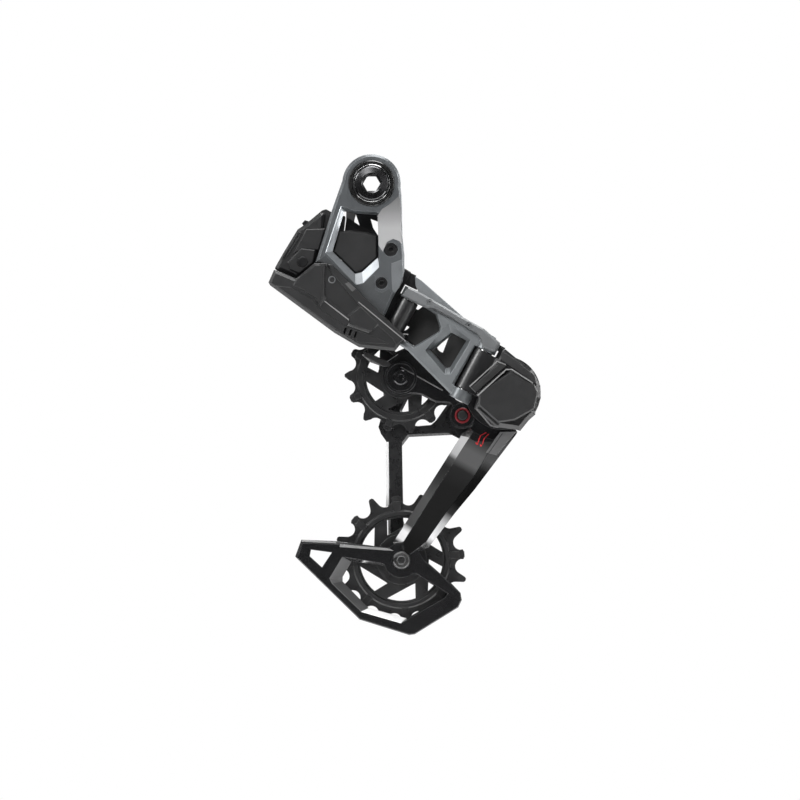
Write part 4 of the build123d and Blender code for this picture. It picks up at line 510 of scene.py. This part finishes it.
ARM_IN = [(-14.4, -14.2), (-20.5, -35.4), (-8.7, -47.1), (-4.9, -46.2), (3.4, -38.7)]
ARM_OUT = [(-15.9, -11.8), (-23.9, -36.0), (-8.2, -52.9), (-4.3, -51.9), (4.0, -43.6)]
# window bevel facets coloured with painted highlight
for i, look in enumerate(("cast_painted_highlight", "cast_painted_pale_highlight", "cast_painted_pale_highlight", "cast_painted_highlight")):
    facet("arm_window_facet_%d" % i, "mount_knuckle", look,
          (ARM_OUT[i], ARM_OUT[i + 1]), -14.02, (ARM_IN[i], ARM_IN[i + 1]), -10.6,
          proud=0.30, thick=0.6)
GUARD_IN = [(-10.8, -197.3), (-15.5, -205.3), (-15.5, -208.0), (-1.8, -222.0),
            (18.0, -227.4)]
GUARD_OUT = [(-15.4, -194.6), (-22.2, -206.0), (-20.8, -208.7), (-5.5, -223.4),
             (15.4, -229.4)]
# guard bevel facets coloured with painted sheen and painted highlight
for i, look in enumerate(("guard_painted_sheen", "painted_highlight_dim", "guard_painted_sheen", "guard_facet_lit")):
    facet("guard_facet_%d" % i, "cage", look,
          (GUARD_OUT[i], GUARD_OUT[i + 1]), 3.35, (GUARD_IN[i], GUARD_IN[i + 1]), 8.7,
          proud=0.30, thick=0.6)

# painted light: a lighter band across the arm's upper facet, darker above and below
graded("arm_painted_light_grade", (9.0, -6.0), (9.0, -60.0),
       [(0.0, 0.12), (0.15, 0.20), (0.32, 0.34), (0.52, 0.34), (0.70, 0.16), (0.85, 0.10),
        (1.0, 0.08)], rough=0.40, spec=0.4)
for name in ("arm_facet_high",):
    bpy.data.objects[name].material_slots[0].material = M["arm_painted_light_grade"]

# beam: painted highlight and painted shade run along its length on each of its three faces
TOP, TOE = (48.6, -131.8), (14.2, -187.0)
graded("beam_left_painted_light", TOP, TOE,
       [(0.0, 0.45), (0.16, 0.32), (0.20, 0.05), (0.28, 0.012), (0.40, 0.022),
        (0.58, 0.055), (0.84, 0.045), (0.90, 0.60), (0.97, 0.55), (1.0, 0.03)],
       rough=0.7, spec=0.06)
graded("beam_right_painted_light", (72.0, -129.4), (29.6, -188.0),
       [(0.0, 0.01), (0.08, 0.055), (0.26, 0.06), (0.34, 0.008), (0.42, 0.0015),
        (0.64, 0.0015), (0.73, 0.02), (0.82, 0.38), (0.95, 0.62), (1.0, 0.12)],
       rough=0.7, spec=0.04)
graded("beam_front_painted_light", (58.0, -126.0), (22.0, -189.0),
       [(0.0, 0.008), (0.10, 0.025), (0.20, 0.085), (0.29, 0.080), (0.35, 0.014),
        (0.50, 0.007), (0.86, 0.006), (1.0, 0.002)], rough=0.6, spec=0.10)
facet("beam_left_facet", "cage", "beam_left_painted_light", ((46.9, -131.2), (11.4, -187.1)), 6.05,
      ((50.9, -132.3), (16.6, -186.6)), 2.82, proud=0.05)
for i, (a, b, c, d) in enumerate((((68.2, -129.9), (60.2, -141.4), (76.0, -130.0),
                                   (63.0, -147.2)),
                                  ((60.2, -141.4), (53.4, -152.6), (63.0, -147.2),
                                   (54.1, -159.0)),
                                  ((53.4, -152.6), (39.8, -170.2), (54.1, -159.0),
                                   (43.1, -172.2)),
                                  ((39.8, -170.2), (28.4, -186.8), (43.1, -172.2),
                                   (29.6, -189.8)))):
    facet("beam_right_facet_%d" % i, "cage", "beam_right_painted_light", (a, b), 2.82, (c, d), 6.05,
          proud=0.32, thick=0.6)
bm = bmesh.new()
face = [(54.0, -134.0), (51.0, -132.4), (16.6, -186.8), (17.6, -195.0), (28.4, -186.8),
        (39.8, -170.2), (53.4, -152.6), (60.2, -141.4), (64.0, -134.6)]
low = [bm.verts.new((x * MM, 3.1 * MM, z * MM)) for x, z in face]
top = [bm.verts.new((x * MM, 2.76 * MM, z * MM)) for x, z in face]
bm.faces.new(low)
bm.faces.new(top[::-1])
for i in range(len(face)):
    j = (i + 1) % len(face)
    bm.faces.new((low[i], top[i], top[j], low[j]))
place(bm, "beam_front_face", "cage", "beam_front_painted_light")

# conical face of the mount bolt round its hexagon
bm = bmesh.new()
hexa = []
for k in range(48):
    t = math.radians(k * 7.5)
    a = (math.degrees(t) % 60) - 30
    hexa.append((4.02 / math.cos(math.radians(a)) * math.cos(t),
                 4.02 / math.cos(math.radians(a)) * math.sin(t)))
rows = []
for r, y in ((None, -15.5), (None, -16.55), (5.3, -16.75), (8.3, -16.30), (8.62, -16.05),
             (8.62, -15.2)):
    row = []
    for k in range(48):
        x, z = hexa[k]
        if r:
            length = math.hypot(x, z)
            x, z = x / length * r, z / length * r
        row.append(bm.verts.new((x * MM, y * MM, z * MM)))
    rows.append(row)
for r0, r1 in zip(rows, rows[1:]):
    for k in range(48):
        j = (k + 1) % 48
        bm.faces.new((r0[k], r0[j], r1[j], r1[k]))
dial = place(bm, "bolt_dial", "mount_knuckle", "dark_chrome")

# ------------------------------------------------------------------ stage
floor_me = bpy.data.meshes.new("floor")
bm = bmesh.new()
bmesh.ops.create_grid(bm, x_segments=1, y_segments=1, size=0.45)
bm.to_mesh(floor_me)
bm.free()
floor = bpy.data.objects.new("floor", floor_me)
floor.location = (0.0, -0.12, -0.36)
scene.collection.objects.link(floor)
fm = bpy.data.materials.new("floor_white")
fm.use_nodes = True
fp = fm.node_tree.nodes["Principled BSDF"]
fp.inputs["Base Color"].default_value = (0.92, 0.92, 0.92, 1)
fp.inputs["Roughness"].default_value = 0.9
floor_me.materials.append(fm)

world = bpy.data.worlds.new("studio")
scene.world = world
world.use_nodes = True
wn, wl = world.node_tree.nodes, world.node_tree.links
bg = wn["Background"]
bg.inputs["Strength"].default_value = 1.0
lp = wn.new("ShaderNodeLightPath")
wmix = wn.new("ShaderNodeMix")
wmix.data_type = "RGBA"
wmix.inputs[6].default_value = (0.045, 0.046, 0.048, 1)
wmix.inputs[7].default_value = (1.0, 1.0, 1.0, 1)
wl.new(lp.outputs["Is Camera Ray"], wmix.inputs[0])
wl.new(wmix.outputs[2], bg.inputs["Color"])


def softbox(name, loc, aim, size, power, size_y=None):
    d = bpy.data.lights.new(name, "AREA")
    d.energy = power
    d.shape = "RECTANGLE"
    d.size = size
    d.size_y = size_y or size
    o = bpy.data.objects.new(name, d)
    o.location = loc
    o.rotation_euler = (Vector(aim) - Vector(loc)).to_track_quat("-Z", "Y").to_euler()
    scene.collection.objects.link(o)
    return o


MID = (0.015, 0.0, -0.11)
softbox("key", (-0.45, -1.35, 0.95), MID, 0.9, 17.0)
softbox("fill", (0.9, -1.3, 0.0), MID, 0.7, 4.0)
softbox("top", (0.10, -0.10, 1.0), MID, 0.8, 12.0, 0.5)
softbox("left_up", (-0.86, -0.43, 0.50), MID, 0.5, 8.0, 0.35)
softbox("right_low", (0.80, -0.50, -0.66), MID, 0.45, 6.0, 0.22)
softbox("right_back", (0.95, 0.38, 0.12), MID, 0.55, 17.0, 0.8)
softbox("left_back", (-1.0, 0.40, -0.15), MID, 0.45, 8.0, 0.6)
softbox("back_top", (0.10, 0.80, 0.80), MID, 0.9, 22.0, 0.6)
softbox("under", (0.25, -0.30, -1.0), MID, 0.5, 3.0, 0.3)

cam_d = bpy.data.cameras.new("camera")
cam_d.lens = 162.45
cam_d.sensor_width = 36.0
cam_d.clip_start = 0.05
cam = bpy.data.objects.new("camera", cam_d)
cam.location = (0.0148, -1.888, -0.1125)
cam.rotation_euler = (math.radians(90), 0, 0)
scene.collection.objects.link(cam)
scene.camera = cam
scene.view_settings.view_transform = "Standard"
